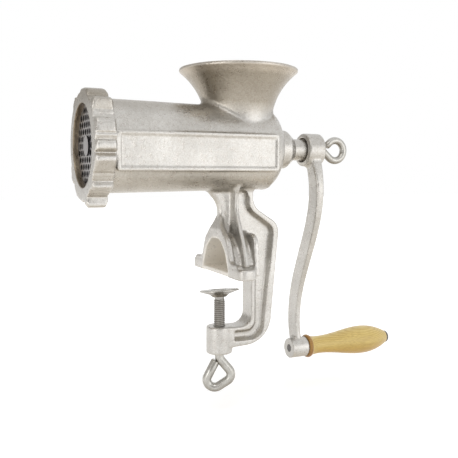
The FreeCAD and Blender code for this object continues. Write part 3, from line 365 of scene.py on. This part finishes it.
def painted_light_hollow_mask(tree, where, x):
    """1 on the cored hollow under the leg, where painted light brightens it, 0 elsewhere."""
    section = add_node(tree, "ShaderNodeMapping", {"Scale": (0, 1 / CORE_HALF, 1 / CORE_HEIGHT)})
    tree.links.new(where, section.inputs["Vector"])
    reach = add_node(tree, "ShaderNodeVectorMath", operation="LENGTH")
    tree.links.new(section.outputs["Vector"], reach.inputs[0])
    inside = spread_to(tree, reach.outputs["Value"], 1, 0, CORE_EDGE, 1.0)
    return product(tree, inside, spread_to(tree, x, 1, 0, CORE_END_X, CORE_END_X + BLUR_ALONG))


def opening_mask(tree, x):
    """1 on the wall of the ring nut's opening, where painted shade darkens it, 0 elsewhere."""
    inside = spread_to(tree, distance_from_axis(tree), 1, 0, OPENING_R, OPENING_R + BLUR_ACROSS)
    return product(tree, inside, spread_to(tree, x, 1, 0, OPENING_END_X, OPENING_END_X + BLUR_ALONG))


def cast_tin():
    """Hot-tinned cast iron: pale metal with a sandy skin, painted highlights on its edges, painted shade
    in its creases, on faces that look down, on the hopper's flare and in the ring nut's opening, and
    painted light in the hollow under the leg.
    """
    material, tree, shader = new_material("tinned_casting")
    where = object_coordinates(tree)
    patches = noise(tree, where, 22 * MM, 4)
    mottle = noise(tree, where, 3.0 * MM, 4)
    grain = noise(tree, where, 0.9 * MM, 3, 0.6)
    tone = colour_ramp(tree, patches, (0.3, (0.61, 0.597, 0.573)), (0.7, (0.735, 0.725, 0.704)))
    speckle = colour_ramp(tree, mottle, (0.25, (0.88, 0.865, 0.845)), (0.6, (1, 1, 1)))
    sand = colour_ramp(tree, grain, (0.36, (0.84, 0.825, 0.805)), (0.62, (1, 1, 1)))
    # painted shade in concave creases and painted highlight on convex edges, by pointiness
    geometry = add_node(tree, "ShaderNodeNewGeometry")
    painted_crease_shade_and_edge_highlight = colour_ramp(tree, geometry.outputs["Pointiness"], (0.39, (0.70, 0.65, 0.58)),
                          (0.46, (0.90, 0.895, 0.885)), (0.51, (0.90, 0.895, 0.885)), (0.54, (1, 1, 1)))
    split = add_node(tree, "ShaderNodeSeparateXYZ")
    tree.links.new(where, split.inputs["Vector"])
    # painted shade from the hopper's foot up, paler again near its rim
    up = spread_to(tree, split.outputs["Z"], 0, 1, HOPPER_FOOT_Z, HOPPER_RIM_Z)
    hopper_painted_shade = colour_ramp(tree, up, (0.0, (1, 1, 1)), (0.3, (0.66, 0.625, 0.57)),
                       (0.80, (0.66, 0.625, 0.57)), (0.87, (0.92, 0.88, 0.83)))
    colour = multiply(tree, multiply(tree, tone, speckle), multiply(tree, painted_crease_shade_and_edge_highlight, sand))
    # painted shade on faces that look down
    colour = painted_underside_shade(tree, multiply(tree, colour, hopper_painted_shade), (0.86, 0.81, 0.73))
    # painted shade on the wall of the ring nut's opening
    opening = opening_mask(tree, split.outputs["X"])
    wall = colour_ramp(tree, opening, (0.0, (1, 1, 1)), (1.0, (0.50, 0.43, 0.34)))
    colour = multiply(tree, colour, wall)
    # painted light: a paler, less metallic copy of the tin brightens the hollow under the leg
    painted_light_in_hollow = painted_light_hollow_mask(tree, where, split.outputs["X"])
    skin = add_node(tree, "ShaderNodeMix", {"B": (0.84, 0.80, 0.73, 1)}, data_type="RGBA")
    tree.links.new(painted_light_in_hollow, skin.inputs["Factor"])
    tree.links.new(colour, skin.inputs["A"])
    tree.links.new(skin.outputs["Result"], shader.inputs["Base Color"])
    tree.links.new(spread_to(tree, painted_light_in_hollow, 0.82, 0.1, 0, 1), shader.inputs["Metallic"])
    tree.links.new(spread_to(tree, mottle, 0.24, 0.40), shader.inputs["Roughness"])
    dents = bump(tree, mottle, 0.2 * MM)
    tree.links.new(bump(tree, grain, 0.14 * MM, dents), shader.inputs["Normal"])
    return material


def zinc_steel():
    """Bright zinc-plated steel rod, with fine drawn streaks."""
    material, tree, shader = new_material("zinc_steel")
    where = object_coordinates(tree)
    mottle = noise(tree, where, 4 * MM, 4)
    streaks = noise(tree, object_coordinates(tree, scale=(1, 1, 0.15)), 0.6 * MM, 3)
    colour = colour_ramp(tree, mottle, (0.3, (0.42, 0.405, 0.37)), (0.7, (0.56, 0.55, 0.52)))
    # painted shade on faces that look down
    tree.links.new(painted_underside_shade(tree, colour, (0.50, 0.45, 0.38)), shader.inputs["Base Color"])
    shader.inputs["Metallic"].default_value = 0.85
    tree.links.new(spread_to(tree, streaks, 0.22, 0.36), shader.inputs["Roughness"])
    tree.links.new(bump(tree, streaks, 0.02 * MM), shader.inputs["Normal"])
    return material


def thread_steel():
    """Grey steel of the cut thread, its tone darkened as painted shade, with more painted shade in the
    dips between its ridges.
    """
    material, tree, shader = new_material("thread_steel")
    where = object_coordinates(tree)
    mottle = noise(tree, where, 2 * MM, 4)
    # tone darker than the zinc, as painted shade
    tone = colour_ramp(tree, mottle, (0.3, (0.34, 0.325, 0.30)), (0.7, (0.47, 0.455, 0.43)))
    geometry = add_node(tree, "ShaderNodeNewGeometry")
    # painted shade in the thread's dips, by pointiness
    groove_painted_shade = colour_ramp(tree, geometry.outputs["Pointiness"],
                          (0.44, (0.35, 0.31, 0.27)), (0.52, (1, 1, 1)))
    tree.links.new(multiply(tree, tone, groove_painted_shade), shader.inputs["Base Color"])
    shader.inputs["Metallic"].default_value = 0.85
    tree.links.new(spread_to(tree, mottle, 0.30, 0.45), shader.inputs["Roughness"])
    return material


def plate_steel():
    """Ground tool steel with faint turning rings about the barrel's axis."""
    material, tree, shader = new_material("plate_steel")
    where = object_coordinates(tree, offset=(0, 0, -AXIS_Z))
    rings = add_node(tree, "ShaderNodeTexWave", {"Scale": 180.0, "Distortion": 0.6, "Detail": 2.0},
                     wave_type="RINGS", rings_direction="X")
    tree.links.new(where, rings.inputs["Vector"])
    mottle = noise(tree, where, 3 * MM, 4)
    colour = colour_ramp(tree, mottle, (0.3, (0.40, 0.39, 0.40)), (0.7, (0.52, 0.51, 0.52)))
    tree.links.new(colour, shader.inputs["Base Color"])
    shader.inputs["Metallic"].default_value = 0.9
    tree.links.new(spread_to(tree, mottle, 0.28, 0.42), shader.inputs["Roughness"])
    tree.links.new(bump(tree, rings.outputs["Fac"], 0.02 * MM), shader.inputs["Normal"])
    return material


def holed_plate():
    """The plate's ground steel, with painted shade on the walls of its holes."""
    material = PLATE.copy()
    material.name = "holed_plate"
    tree = material.node_tree
    shader = tree.nodes["Principled BSDF"]
    face = add_node(tree, "ShaderNodeMath", operation="ABSOLUTE")
    tree.links.new(facing(tree)["X"], face.inputs[0])
    rim = spread_to(tree, distance_from_axis(tree), 0, 1, PLATE_RIM_R, PLATE_RIM_R + BLUR_ACROSS)
    shown = larger(tree, face.outputs[0], rim)
    # painted shade on the walls of the holes
    walls = colour_ramp(tree, shown, (0.4, (0.05, 0.045, 0.05)), (0.9, (1, 1, 1)))
    steel = shader.inputs["Base Color"].links[0].from_socket
    tree.links.new(multiply(tree, steel, walls), shader.inputs["Base Color"])
    return material


def dark_steel():
    """Blackened steel of the handle's pin and washer."""
    material, tree, shader = new_material("dark_steel")
    where = object_coordinates(tree)
    mottle = noise(tree, where, 1.5 * MM, 4)
    colour = colour_ramp(tree, mottle, (0.3, (0.10, 0.095, 0.09)), (0.7, (0.20, 0.19, 0.18)))
    tree.links.new(colour, shader.inputs["Base Color"])
    shader.inputs["Metallic"].default_value = 0.8
    tree.links.new(spread_to(tree, mottle, 0.35, 0.55), shader.inputs["Roughness"])
    tree.links.new(bump(tree, mottle, 0.04 * MM), shader.inputs["Normal"])
    return material


def handle_wood():
    """Varnished pale hardwood, its grain running along the handle, with varnish gathered at the bead."""
    material, tree, shader = new_material("handle_wood")
    low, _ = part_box("handle_grip")
    centre = (0, -HANDLE_AXIS.y - WOOD_HEART_Y, -HANDLE_AXIS.z - WOOD_HEART_Z)
    across = object_coordinates(tree, offset=centre, scale=(0.25, 1, 1))
    stretched = object_coordinates(tree, scale=(0.05, 1, 1))
    years = add_node(tree, "ShaderNodeTexWave",
                     {"Scale": 290.0, "Distortion": 1.8, "Detail": 2.0, "Detail Scale": 1.5},
                     wave_type="RINGS", rings_direction="X")
    tree.links.new(across, years.inputs["Vector"])
    fibres = noise(tree, stretched, 0.45 * MM, 4, 0.6)
    broad = noise(tree, stretched, 4 * MM, 3)
    growth = colour_ramp(tree, years.outputs["Fac"], (0.0, (0.585, 0.415, 0.11)),
                         (0.35, (0.65, 0.485, 0.145)), (1.0, (0.69, 0.535, 0.185)))
    pores = colour_ramp(tree, fibres, (0.34, (0.80, 0.74, 0.62)), (0.54, (1, 1, 1)))
    cloud = colour_ramp(tree, broad, (0.3, (0.88, 0.84, 0.74)), (0.7, (1, 1, 1)))
    split = add_node(tree, "ShaderNodeSeparateXYZ")
    tree.links.new(object_coordinates(tree), split.inputs["Vector"])
    along = spread_to(tree, split.outputs["X"], 0, 1, low.x, low.x + BEAD_LENGTH)
    bead = colour_ramp(tree, along, (0.42, (0.58, 0.40, 0.22)), (0.62, (1, 1, 1)))
    colour = multiply(tree, multiply(tree, growth, pores), multiply(tree, cloud, bead))
    # painted shade on faces that look down
    tree.links.new(painted_underside_shade(tree, colour, (0.85, 0.67, 0.14)), shader.inputs["Base Color"])
    tree.links.new(spread_to(tree, fibres, 0.32, 0.45), shader.inputs["Roughness"])
    shader.inputs["Coat Weight"].default_value = 0.5
    shader.inputs["Coat Roughness"].default_value = 0.3
    tree.links.new(bump(tree, fibres, 0.03 * MM), shader.inputs["Normal"])
    return material


TIN = cast_tin()
ZINC = zinc_steel()
THREAD = thread_steel()
PLATE = plate_steel()
HOLED = holed_plate()
DARK = dark_steel()
WOOD = handle_wood()


# Castings

def read_points(mesh, what):
    """Places ("co") or normals ("normal") of a mesh's points, one per row."""
    values = numpy.empty(len(mesh.vertices) * 3)
    mesh.vertices.foreach_get(what, values)
    return values.reshape(-1, 3)


def write_points(mesh, places):
    mesh.vertices.foreach_set("co", places.ravel())
    mesh.update()


def swell(mesh, radii, sign):
    """Moves each point out along its normal by the radius for its place, or back again."""
    places = read_points(mesh, "co")
    normals = read_points(mesh, "normal")
    source = places
    rounds_back = 8
    for _ in range(1 if sign > 0 else rounds_back):
        source = places + normals * (sign * radii(source))[:, None]
    write_points(mesh, source)


def remesh(piece, voxel):
    skin = piece.modifiers.new("skin", "REMESH")
    skin.mode = "VOXEL"
    skin.voxel_size = voxel
    bake(piece)


def cast_skin(node, body, voxel, rounds, kept, radii=None, carving=None, shape=None):
    """A copy of a CAD node with the filled corners, soft edges and uneven skin of a casting."""
    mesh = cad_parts[node].data.copy()
    piece = add_piece(node + "_skin", mesh, body, "tinned_casting", TIN, node)
    if carving:
        carving(piece)
    remesh(piece, voxel)
    if shape:
        shape(piece)
        remesh(piece, voxel)
    if radii:
        swell(piece.data, radii, 1)
        remesh(piece, voxel)
        swell(piece.data, radii, -1)
    ease = piece.modifiers.new("ease", "SMOOTH")
    ease.factor = 0.5
    ease.iterations = rounds
    cloud = bpy.data.textures.new(node + "_unevenness", "CLOUDS")
    cloud.noise_scale = SKIN_WAVE
    uneven = piece.modifiers.new("uneven", "DISPLACE")
    uneven.texture = cloud
    uneven.texture_coords = "LOCAL"
    uneven.mid_level = 0.5
    uneven.strength = SKIN_DEPTH
    thin = piece.modifiers.new("thin", "DECIMATE")
    thin.ratio = kept
    bake(piece)


def body_fillets(places):
    """Radii of the casting's inner corners by height, none on the panels or inside the barrel."""
    from_axis = numpy.hypot(places[:, 1], places[:, 2] - AXIS_Z)
    above = (places[:, 2] - AXIS_Z) / MM
    radii = numpy.interp(above, FILLET_HEIGHTS, FILLET_RADII) * MM
    outside = numpy.clip((from_axis - BORE_OUTER_R) / FILLET_FADE, 0, 1)
    behind = numpy.clip((places[:, 0] - BORE_END_X) / FILLET_FADE, 0, 1)
    return radii * numpy.maximum(outside, behind)


def crank_fillets(places):
    """Radii of the crank's inner corners, none inside its hub."""
    from_axis = numpy.hypot(places[:, 1], places[:, 2] - AXIS_Z)
    return CRANK_FILLET_R * numpy.clip((from_axis - CRANK_HUB_R) / CRANK_FILLET_FADE, 0, 1)


def carve(piece, low, high, draft=0):
    """Cuts out a box whose top and bottom each slope out by the draft towards the frame's side."""
    build = bmesh.new()
    bmesh.ops.create_cube(build, size=1)
    for corner in build.verts:
        place = [high[i] if corner.co[i] > 0 else low[i] for i in range(3)]
        if abs(place[1]) == POCKET_OUTER_Y:
            place[2] += math.copysign(draft, corner.co.z)
        corner.co = place
    cutter = bpy.data.objects.new("cutter", mesh_from(build, "cutter"))
    bpy.context.scene.collection.objects.link(cutter)
    cut = piece.modifiers.new("cut", "BOOLEAN")
    cut.object = cutter
    cut.operation = "DIFFERENCE"
    bake(piece)
    bpy.data.objects.remove(cutter)


def open_pockets(piece):
    """Runs the clamp frame's side pockets up to the barrel and down to the clamp's boss."""
    for side in (-1, 1):
        near, far = sorted((side * POCKET_FLOOR_Y, side * POCKET_OUTER_Y))
        carve(piece, (POCKET_FRONT_X, near, POCKET_TOP_Z), (POCKET_REAR_X, far, POCKET_END_Z))
        carve(piece, (POCKET_BOSS_X, near, POCKET_ARM_BOTTOM_Z),
              (POCKET_ARM_X, far, POCKET_ARM_TOP_Z), POCKET_DRAFT)


def uneven_lobes(piece):
    """Moves the ring nut's outer surface to the uneven lobes of the photograph."""
    places = read_points(piece.data, "co")
    y = -places[:, 1]
    z = places[:, 2] - AXIS_Z
    radius = numpy.hypot(y, z)
    degrees = numpy.degrees(numpy.arctan2(z, y))
    bins = numpy.arange(-180, 181)
    near = numpy.clip(numpy.round(degrees + 180).astype(int), 0, 360)
    crest = numpy.zeros(361)
    numpy.maximum.at(crest, near, radius)
    corners = []
    for start, end, first, last in RING_LOBES:
        ease = (end - start) * RING_EASE
        corners += [(start - RING_FLANK, RING_FLOOR_R), (start, first * MM - RING_DROP),
                    (start + ease, first * MM), (end - ease, last * MM),
                    (end, last * MM - RING_DROP), (end + RING_FLANK, RING_FLOOR_R)]
    goal = numpy.interp(degrees, *zip(*corners))
    outside = numpy.clip(radius - RING_WALL_R, 0, None)
    share = outside / (numpy.interp(degrees, bins, crest) - RING_WALL_R)
    moved = numpy.where(outside > 0, RING_WALL_R + share * (goal - RING_WALL_R), radius)
    places[:, 1] *= moved / radius
    places[:, 2] = AXIS_Z + z * moved / radius
    write_points(piece.data, places)


def flat_arm(piece):
    """Thins the crank's arm along the axis and widens it across, about the arm's own middle."""
    places = read_points(piece.data, "co")
    z = places[:, 2]
    length = numpy.minimum(AXIS_Z - ARM_HUB_GAP - z, z - HANDLE_AXIS.z - ARM_BOSS_GAP)
    fade = numpy.clip(length / ARM_FADE, 0, 1)
    level = numpy.round((z - z.min()) / MM).astype(int)
    heights = z.min() + numpy.arange(level.max() + 1) * MM
    for axis, factor in ((0, ARM_THINNING), (1, ARM_WIDENING)):
        along = places[:, axis]
        least = numpy.full(len(heights), numpy.inf)
        most = -least
        numpy.minimum.at(least, level, along)
        numpy.maximum.at(most, level, along)
        centre = numpy.interp(z, heights, (least + most) / 2)
        places[:, axis] = along + (along - centre) * (factor - 1) * fade
    write_points(piece.data, places)


# Threads and bent rods

def thread_mesh(name, place, crest_r, depth, pitch, length, runout):
    """A right-handed threaded rod along its own Z, its thread dying out at both ends."""
    segments = 36
    profile = (0.0, 0.2, 0.85, 1.0, 0.85, 0.2)      # height of the thread over one pitch
    steps = len(profile)
    rows = math.ceil(length / pitch + 2) * steps
    build = bmesh.new()
    grid = []
    for row in range(rows + 1):
        ring = []
        for segment in range(segments):
            turn = segment / segments
            z = min(max((row / steps - 1 + turn) * pitch, 0.0), length)
            fade = min(min(z, length - z) / runout, 1.0)
            radius = crest_r - depth * (1 - profile[row % steps] * fade)
            angle = 2 * math.pi * turn
            point = Vector((radius * math.cos(angle), radius * math.sin(angle), z))
            ring.append(build.verts.new(place @ point))
        grid.append(ring)
    for row in range(rows):
        for segment in range(segments):
            after = segment + 1
            shift = 0
            if after == segments:
                after = 0
                shift = steps
            if row + 1 + shift <= rows:
                build.faces.new((grid[row][segment], grid[row + shift][after],
                                 grid[row + 1 + shift][after], grid[row + 1][segment]))
    bmesh.ops.remove_doubles(build, verts=build.verts, dist=1e-7)
    bmesh.ops.dissolve_degenerate(build, edges=build.edges, dist=1e-7)
    bmesh.ops.holes_fill(build, edges=build.edges, sides=segments * 2)
    return mesh_from(build, name)


def ridge_mesh(name, root_r, crest_r, pitch, start, turns, lead):
    """A helical thread ridge about the barrel's axis, fading in and out over its ends."""
    segments = int(72 * turns)
    fade_steps = 12
    foot = 0.36 * pitch
    top = 0.12 * pitch
    sunk = math.copysign(0.4 * MM, crest_r - root_r)
    build = bmesh.new()
    rings = []
    for i in range(segments + 1):
        angle = 2 * math.pi * turns * i / segments
        fade = min(min(i, segments - i) / fade_steps, 1.0)
        x = start + pitch * angle / (2 * math.pi)
        crest = root_r + (crest_r - root_r) * fade - (0 if fade else sunk / 2)
        ring = []
        for dx, radius in ((-foot, root_r - sunk), (-top, crest), (top, crest), (foot, root_r - sunk)):
            spoke = Vector((0, math.cos(angle + lead), math.sin(angle + lead))) * radius
            ring.append(build.verts.new(Vector((x + dx, 0, AXIS_Z)) + spoke))
        rings.append(ring)
    for ring, after in zip(rings, rings[1:]):
        for i in range(4):
            j = (i + 1) % 4
            build.faces.new((ring[i], ring[j], after[j], after[i]))
    build.faces.new(rings[0])
    build.faces.new(rings[-1])
    return mesh_from(build, name)


def rounded_path(corners):
    """Points along straight runs whose inner (point, radius) corners are rounded by arcs."""
    steps = 14
    path = [corners[0][0]]
    for (before, _), (here, radius), (after, _) in zip(corners, corners[1:], corners[2:]):
        back = (before - here).normalized()
        ahead = (after - here).normalized()
        half = back.angle(ahead) / 2
        start = here + back * (radius / math.tan(half))
        centre = here + (back + ahead).normalized() * (radius / math.sin(half))
        axis = ahead.cross(back)
        for step in range(steps + 1):
            turn = Quaternion(axis, (math.pi - 2 * half) * step / steps)
            path.append(centre + turn @ (start - centre))
    path.append(corners[-1][0])
    return path


def rod_mesh(name, path, radius):
    """A round rod along a path, with flat cut ends whose edge is broken."""
    curve = bpy.data.curves.new(name + "_path", "CURVE")
    curve.dimensions = "3D"
    curve.bevel_depth = radius
    curve.bevel_resolution = 8
    curve.use_fill_caps = True
    edge_break = 0.22                               # share of the radius
    break_at = radius * edge_break
    first = (path[1] - path[0]).normalized()
    last = (path[-2] - path[-1]).normalized()
    points = [path[0], path[0] + first * break_at, *path[1:-1], path[-1] + last * break_at, path[-1]]
    spline = curve.splines.new("POLY")
    spline.points.add(len(points) - 1)
    for spot, point in zip(spline.points, points):
        spot.co = (*point, 1)
    spline.points[0].radius = 1 - edge_break
    spline.points[-1].radius = 1 - edge_break
    holder = bpy.data.objects.new(name + "_path", curve)
    mesh = bpy.data.meshes.new_from_object(holder)
    bpy.data.objects.remove(holder)
    bpy.data.curves.remove(curve)
    smooth_faces(mesh)
    return mesh


def clamp_screw():
    """The clamp's threaded rod and its bent handle."""
    low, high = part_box("clamp_disc")
    top = low.z - CLAMP_COLLAR
    place = Matrix.Translation((CLAMP_AXIS.x, CLAMP_AXIS.y, CLAMP_BOSS_Z))
    thread = thread_mesh("clamp_thread", place, CLAMP_THREAD_R, CLAMP_DEPTH, CLAMP_PITCH,
                         top - CLAMP_BOSS_Z, CLAMP_PITCH)
    add_piece("clamp_thread", thread, "screw", "zinc_steel", THREAD, "clamp_screw")
    neck_r = CLAMP_THREAD_R - CLAMP_DEPTH
    axis = Vector((CLAMP_AXIS.x, CLAMP_AXIS.y, 0))
    neck_ends = [axis + Vector((0, 0, top - OVERLAP)), axis + Vector((0, 0, high.z - CLAMP_NECK_GAP))]
    neck = rod_mesh("clamp_neck", neck_ends, neck_r)
    # the neck under the disc gets the darker thread steel as painted shade
    add_piece("clamp_neck", neck, "screw", "zinc_steel", THREAD)
    turn = Matrix.Rotation(LOOP_TURN, 3, "Z")
    corners = []
    for across, up in LOOP_CORNERS:
        corner = axis + turn @ Vector((across * MM, 0, CLAMP_BOSS_Z + up * MM))
        corners.append((corner, LOOP_BEND_R))
    loop = rod_mesh("clamp_loop", rounded_path(corners), LOOP_ROD_R)
    add_piece("clamp_loop", loop, "screw", "zinc_steel", ZINC)


def eye_screw():
    """The thumb screw that holds the crank on: cut thread, neck and teardrop eye."""
    low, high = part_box("crank_eye_screw")
    wire_r = (high.y - low.y) / 2
    bend_r = (high.z - low.z) / 2 - wire_r
    neck_x = low.x + EYE_NECK
    far_x = high.x - wire_r
    lean = math.asin(bend_r / (far_x - bend_r - neck_x))
    side = (far_x - neck_x) * math.tan(lean)

    def at(x, z):
        return Vector((x, 0, AXIS_Z + z))

    stop = at(neck_x + EYE_END_GAP * math.cos(lean), EYE_END_GAP * math.sin(lean))
    corners = [(at(low.x + EYE_THREAD_END, 0), 0), (at(neck_x, 0), EYE_NECK_BEND_R),
               (at(far_x, -side), bend_r), (at(far_x, side), bend_r), (stop, 0)]
    bow = rod_mesh("eye_bow", rounded_path(corners), wire_r)
    add_piece("eye_bow", bow, "eye_screw", "zinc_steel", ZINC)
    place = Matrix.Translation((low.x, 0, AXIS_Z)) @ Matrix.Rotation(math.radians(90), 4, "Y")
    thread = thread_mesh("eye_thread", place, wire_r, EYE_DEPTH, EYE_PITCH,
                         EYE_THREAD_END + OVERLAP, EYE_PITCH)
    add_piece("eye_thread", thread, "eye_screw", "zinc_steel", ZINC, "crank_eye_screw")


def leaning_disc():
    """The loose swivel disc, tipped on the screw's neck as far as its play lets it."""
    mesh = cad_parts["clamp_disc"].data.copy()
    across = Vector((math.cos(CAMERA_YAW), -math.sin(CAMERA_YAW), 0))
    along = Vector((math.sin(CAMERA_YAW), math.cos(CAMERA_YAW), 0))
    lean = Matrix.Rotation(DISC_LEAN_SIDE, 4, along) @ Matrix.Rotation(DISC_LEAN_FRONT, 4, across)
    pivot = Matrix.Translation(CLAMP_AXIS)
    mesh.transform(pivot @ lean @ pivot.inverted())
    add_piece("clamp_disc_leaning", mesh, "disc", "zinc_steel", ZINC, "clamp_disc")


def mouth_threads():
    """The barrel's outer thread and the ring nut's inner one, half a pitch apart."""
    _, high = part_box("ring_nut")
    start = high.x - MOUTH_PITCH * (MOUTH_THREAD_TURNS + MOUTH_THREAD_GAP)
    outer = ridge_mesh("mouth_thread", MOUTH_ROOT_R, MOUTH_CREST_R, MOUTH_PITCH, start,
                       MOUTH_THREAD_TURNS, 0)
    add_piece("mouth_thread", outer, "frame", "tinned_casting", TIN)
    inner = ridge_mesh("ring_thread", RING_ROOT_R, RING_CREST_R, MOUTH_PITCH, start,
                       MOUTH_THREAD_TURNS, math.pi)
    add_piece("ring_thread", inner, "ring", "tinned_casting", TIN)


def paint_cad_nodes():
    """Materials of the CAD nodes that stay as they are."""
    painted = {"plate_key": PLATE, "auger_stud": PLATE, "thrust_washer": PLATE, "knife": PLATE,
               "grinding_plate": HOLED, "handle_grip": WOOD, "handle_pin": DARK, "handle_washer": DARK}
    for node, material in painted.items():
        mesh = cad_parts[node].data
        mesh.materials.clear()
        mesh.materials.append(material)


# Stage, light and camera

def background_rays(tree):
    """1 for what the camera sees, straight or by reflection, and 0 for rays that only light."""
    rays = add_node(tree, "ShaderNodeLightPath").outputs
    seen = larger(tree, rays["Is Camera Ray"], rays["Is Glossy Ray"])
    return larger(tree, seen, rays["Is Transmission Ray"])


def studio_world():
    """A white room, grey on the left and behind the camera."""
    world = bpy.data.worlds.new("studio")
    bpy.context.scene.world = world
    world.use_nodes = True
    tree = world.node_tree
    direction = add_node(tree, "ShaderNodeTexCoord")
    split = add_node(tree, "ShaderNodeSeparateXYZ")
    tree.links.new(direction.outputs["Generated"], split.inputs["Vector"])
    walls = spread_to(tree, split.outputs["X"], LEFT_LIGHT, 1.0, LEFT_EDGE, RIGHT_EDGE)
    towards = add_node(tree, "ShaderNodeVectorMath", operation="DOT_PRODUCT")
    towards.inputs[1].default_value = CAMERA_AT.normalized()
    tree.links.new(direction.outputs["Generated"], towards.inputs[0])
    unlit = spread_to(tree, towards.outputs["Value"], 1.0, CAMERA_SIDE_LIGHT,
                      CAMERA_SIDE_EDGE, CAMERA_SIDE_CORE)
    tree.links.new(product(tree, walls, unlit), tree.nodes["Background"].inputs["Strength"])
    colour = colour_ramp(tree, walls, (LEFT_LIGHT, (1, 0.97, 0.93)), (1.0, (1, 1, 1)))
    tree.links.new(colour, tree.nodes["Background"].inputs["Color"])


def floor_material():
    """Pale floor that keeps shadows and rises to the backdrop's white away from the object."""
    material, tree, shader = new_material("floor")
    shader.inputs["Base Color"].default_value = (0.88, 0.88, 0.88, 1)
    shader.inputs["Roughness"].default_value = 0.9
    source = add_node(tree, "ShaderNodeTexCoord")
    distance = add_node(tree, "ShaderNodeVectorMath", operation="LENGTH")
    tree.links.new(source.outputs["Object"], distance.inputs[0])
    rise = spread_to(tree, distance.outputs["Value"], FLOOR_GLOW_NEAR, FLOOR_GLOW_FAR,
                     FLOOR_GLOW_START, FLOOR_GLOW_END)
    glow = product(tree, rise, background_rays(tree))
    shader.inputs["Emission Color"].default_value = (1, 1, 1, 1)
    tree.links.new(glow, shader.inputs["Emission Strength"])
    return material


def stage_floor():
    low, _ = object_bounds()
    build = bmesh.new()
    corners = [build.verts.new((x * FLOOR_HALF, y * FLOOR_HALF, low.z - CLAMP_TRAVEL))
               for x, y in ((-1, -1), (1, -1), (1, 1), (-1, 1))]
    build.faces.new(corners)
    mesh = bpy.data.meshes.new("floor")
    build.to_mesh(mesh)
    build.free()
    floor = bpy.data.objects.new("floor", mesh)
    bpy.context.scene.collection.objects.link(floor)
    mesh.materials.append(floor_material())


def studio_lamps():
    for name, place, size, power in LAMPS:
        lamp = bpy.data.lights.new(name, "AREA")
        lamp.shape = "DISK"
        lamp.size = size
        lamp.energy = power
        holder = bpy.data.objects.new(name, lamp)
        holder.location = place
        holder.rotation_euler = (LAMP_TARGET - place).to_track_quat("-Z", "Y").to_euler()
        bpy.context.scene.collection.objects.link(holder)


def studio_camera():
    forward = Vector((math.cos(CAMERA_PITCH) * math.sin(CAMERA_YAW),
                      math.cos(CAMERA_PITCH) * math.cos(CAMERA_YAW), -math.sin(CAMERA_PITCH)))
    right = Vector((math.cos(CAMERA_YAW), -math.sin(CAMERA_YAW), 0))
    up = right.cross(forward)
    roll = Quaternion(forward, -CAMERA_ROLL)
    axes = Matrix((roll @ right, roll @ up, -forward)).transposed()
    lens = bpy.data.cameras.new("camera")
    lens.lens = CAMERA_LENS
    lens.sensor_width = CAMERA_SENSOR
    camera = bpy.data.objects.new("camera", lens)
    camera.matrix_world = Matrix.Translation(CAMERA_AT) @ axes.to_4x4()
    bpy.context.scene.collection.objects.link(camera)
    bpy.context.scene.camera = camera


cast_skin("body_casting", "frame", voxel=0.6 * MM, rounds=2, kept=0.25,
          radii=body_fillets, carving=open_pockets)
cast_skin("ring_nut", "ring", voxel=0.5 * MM, rounds=2, kept=0.3, shape=uneven_lobes)
cast_skin("crank_arm", "crank", voxel=0.5 * MM, rounds=2, kept=0.3, radii=crank_fillets, shape=flat_arm)
cast_skin("auger", "drive", voxel=1.0 * MM, rounds=3, kept=0.4)
mouth_threads()
clamp_screw()
leaning_disc()
eye_screw()
paint_cad_nodes()
studio_world()
stage_floor()
studio_lamps()
studio_camera()
bpy.context.scene.view_settings.view_transform = "Standard"
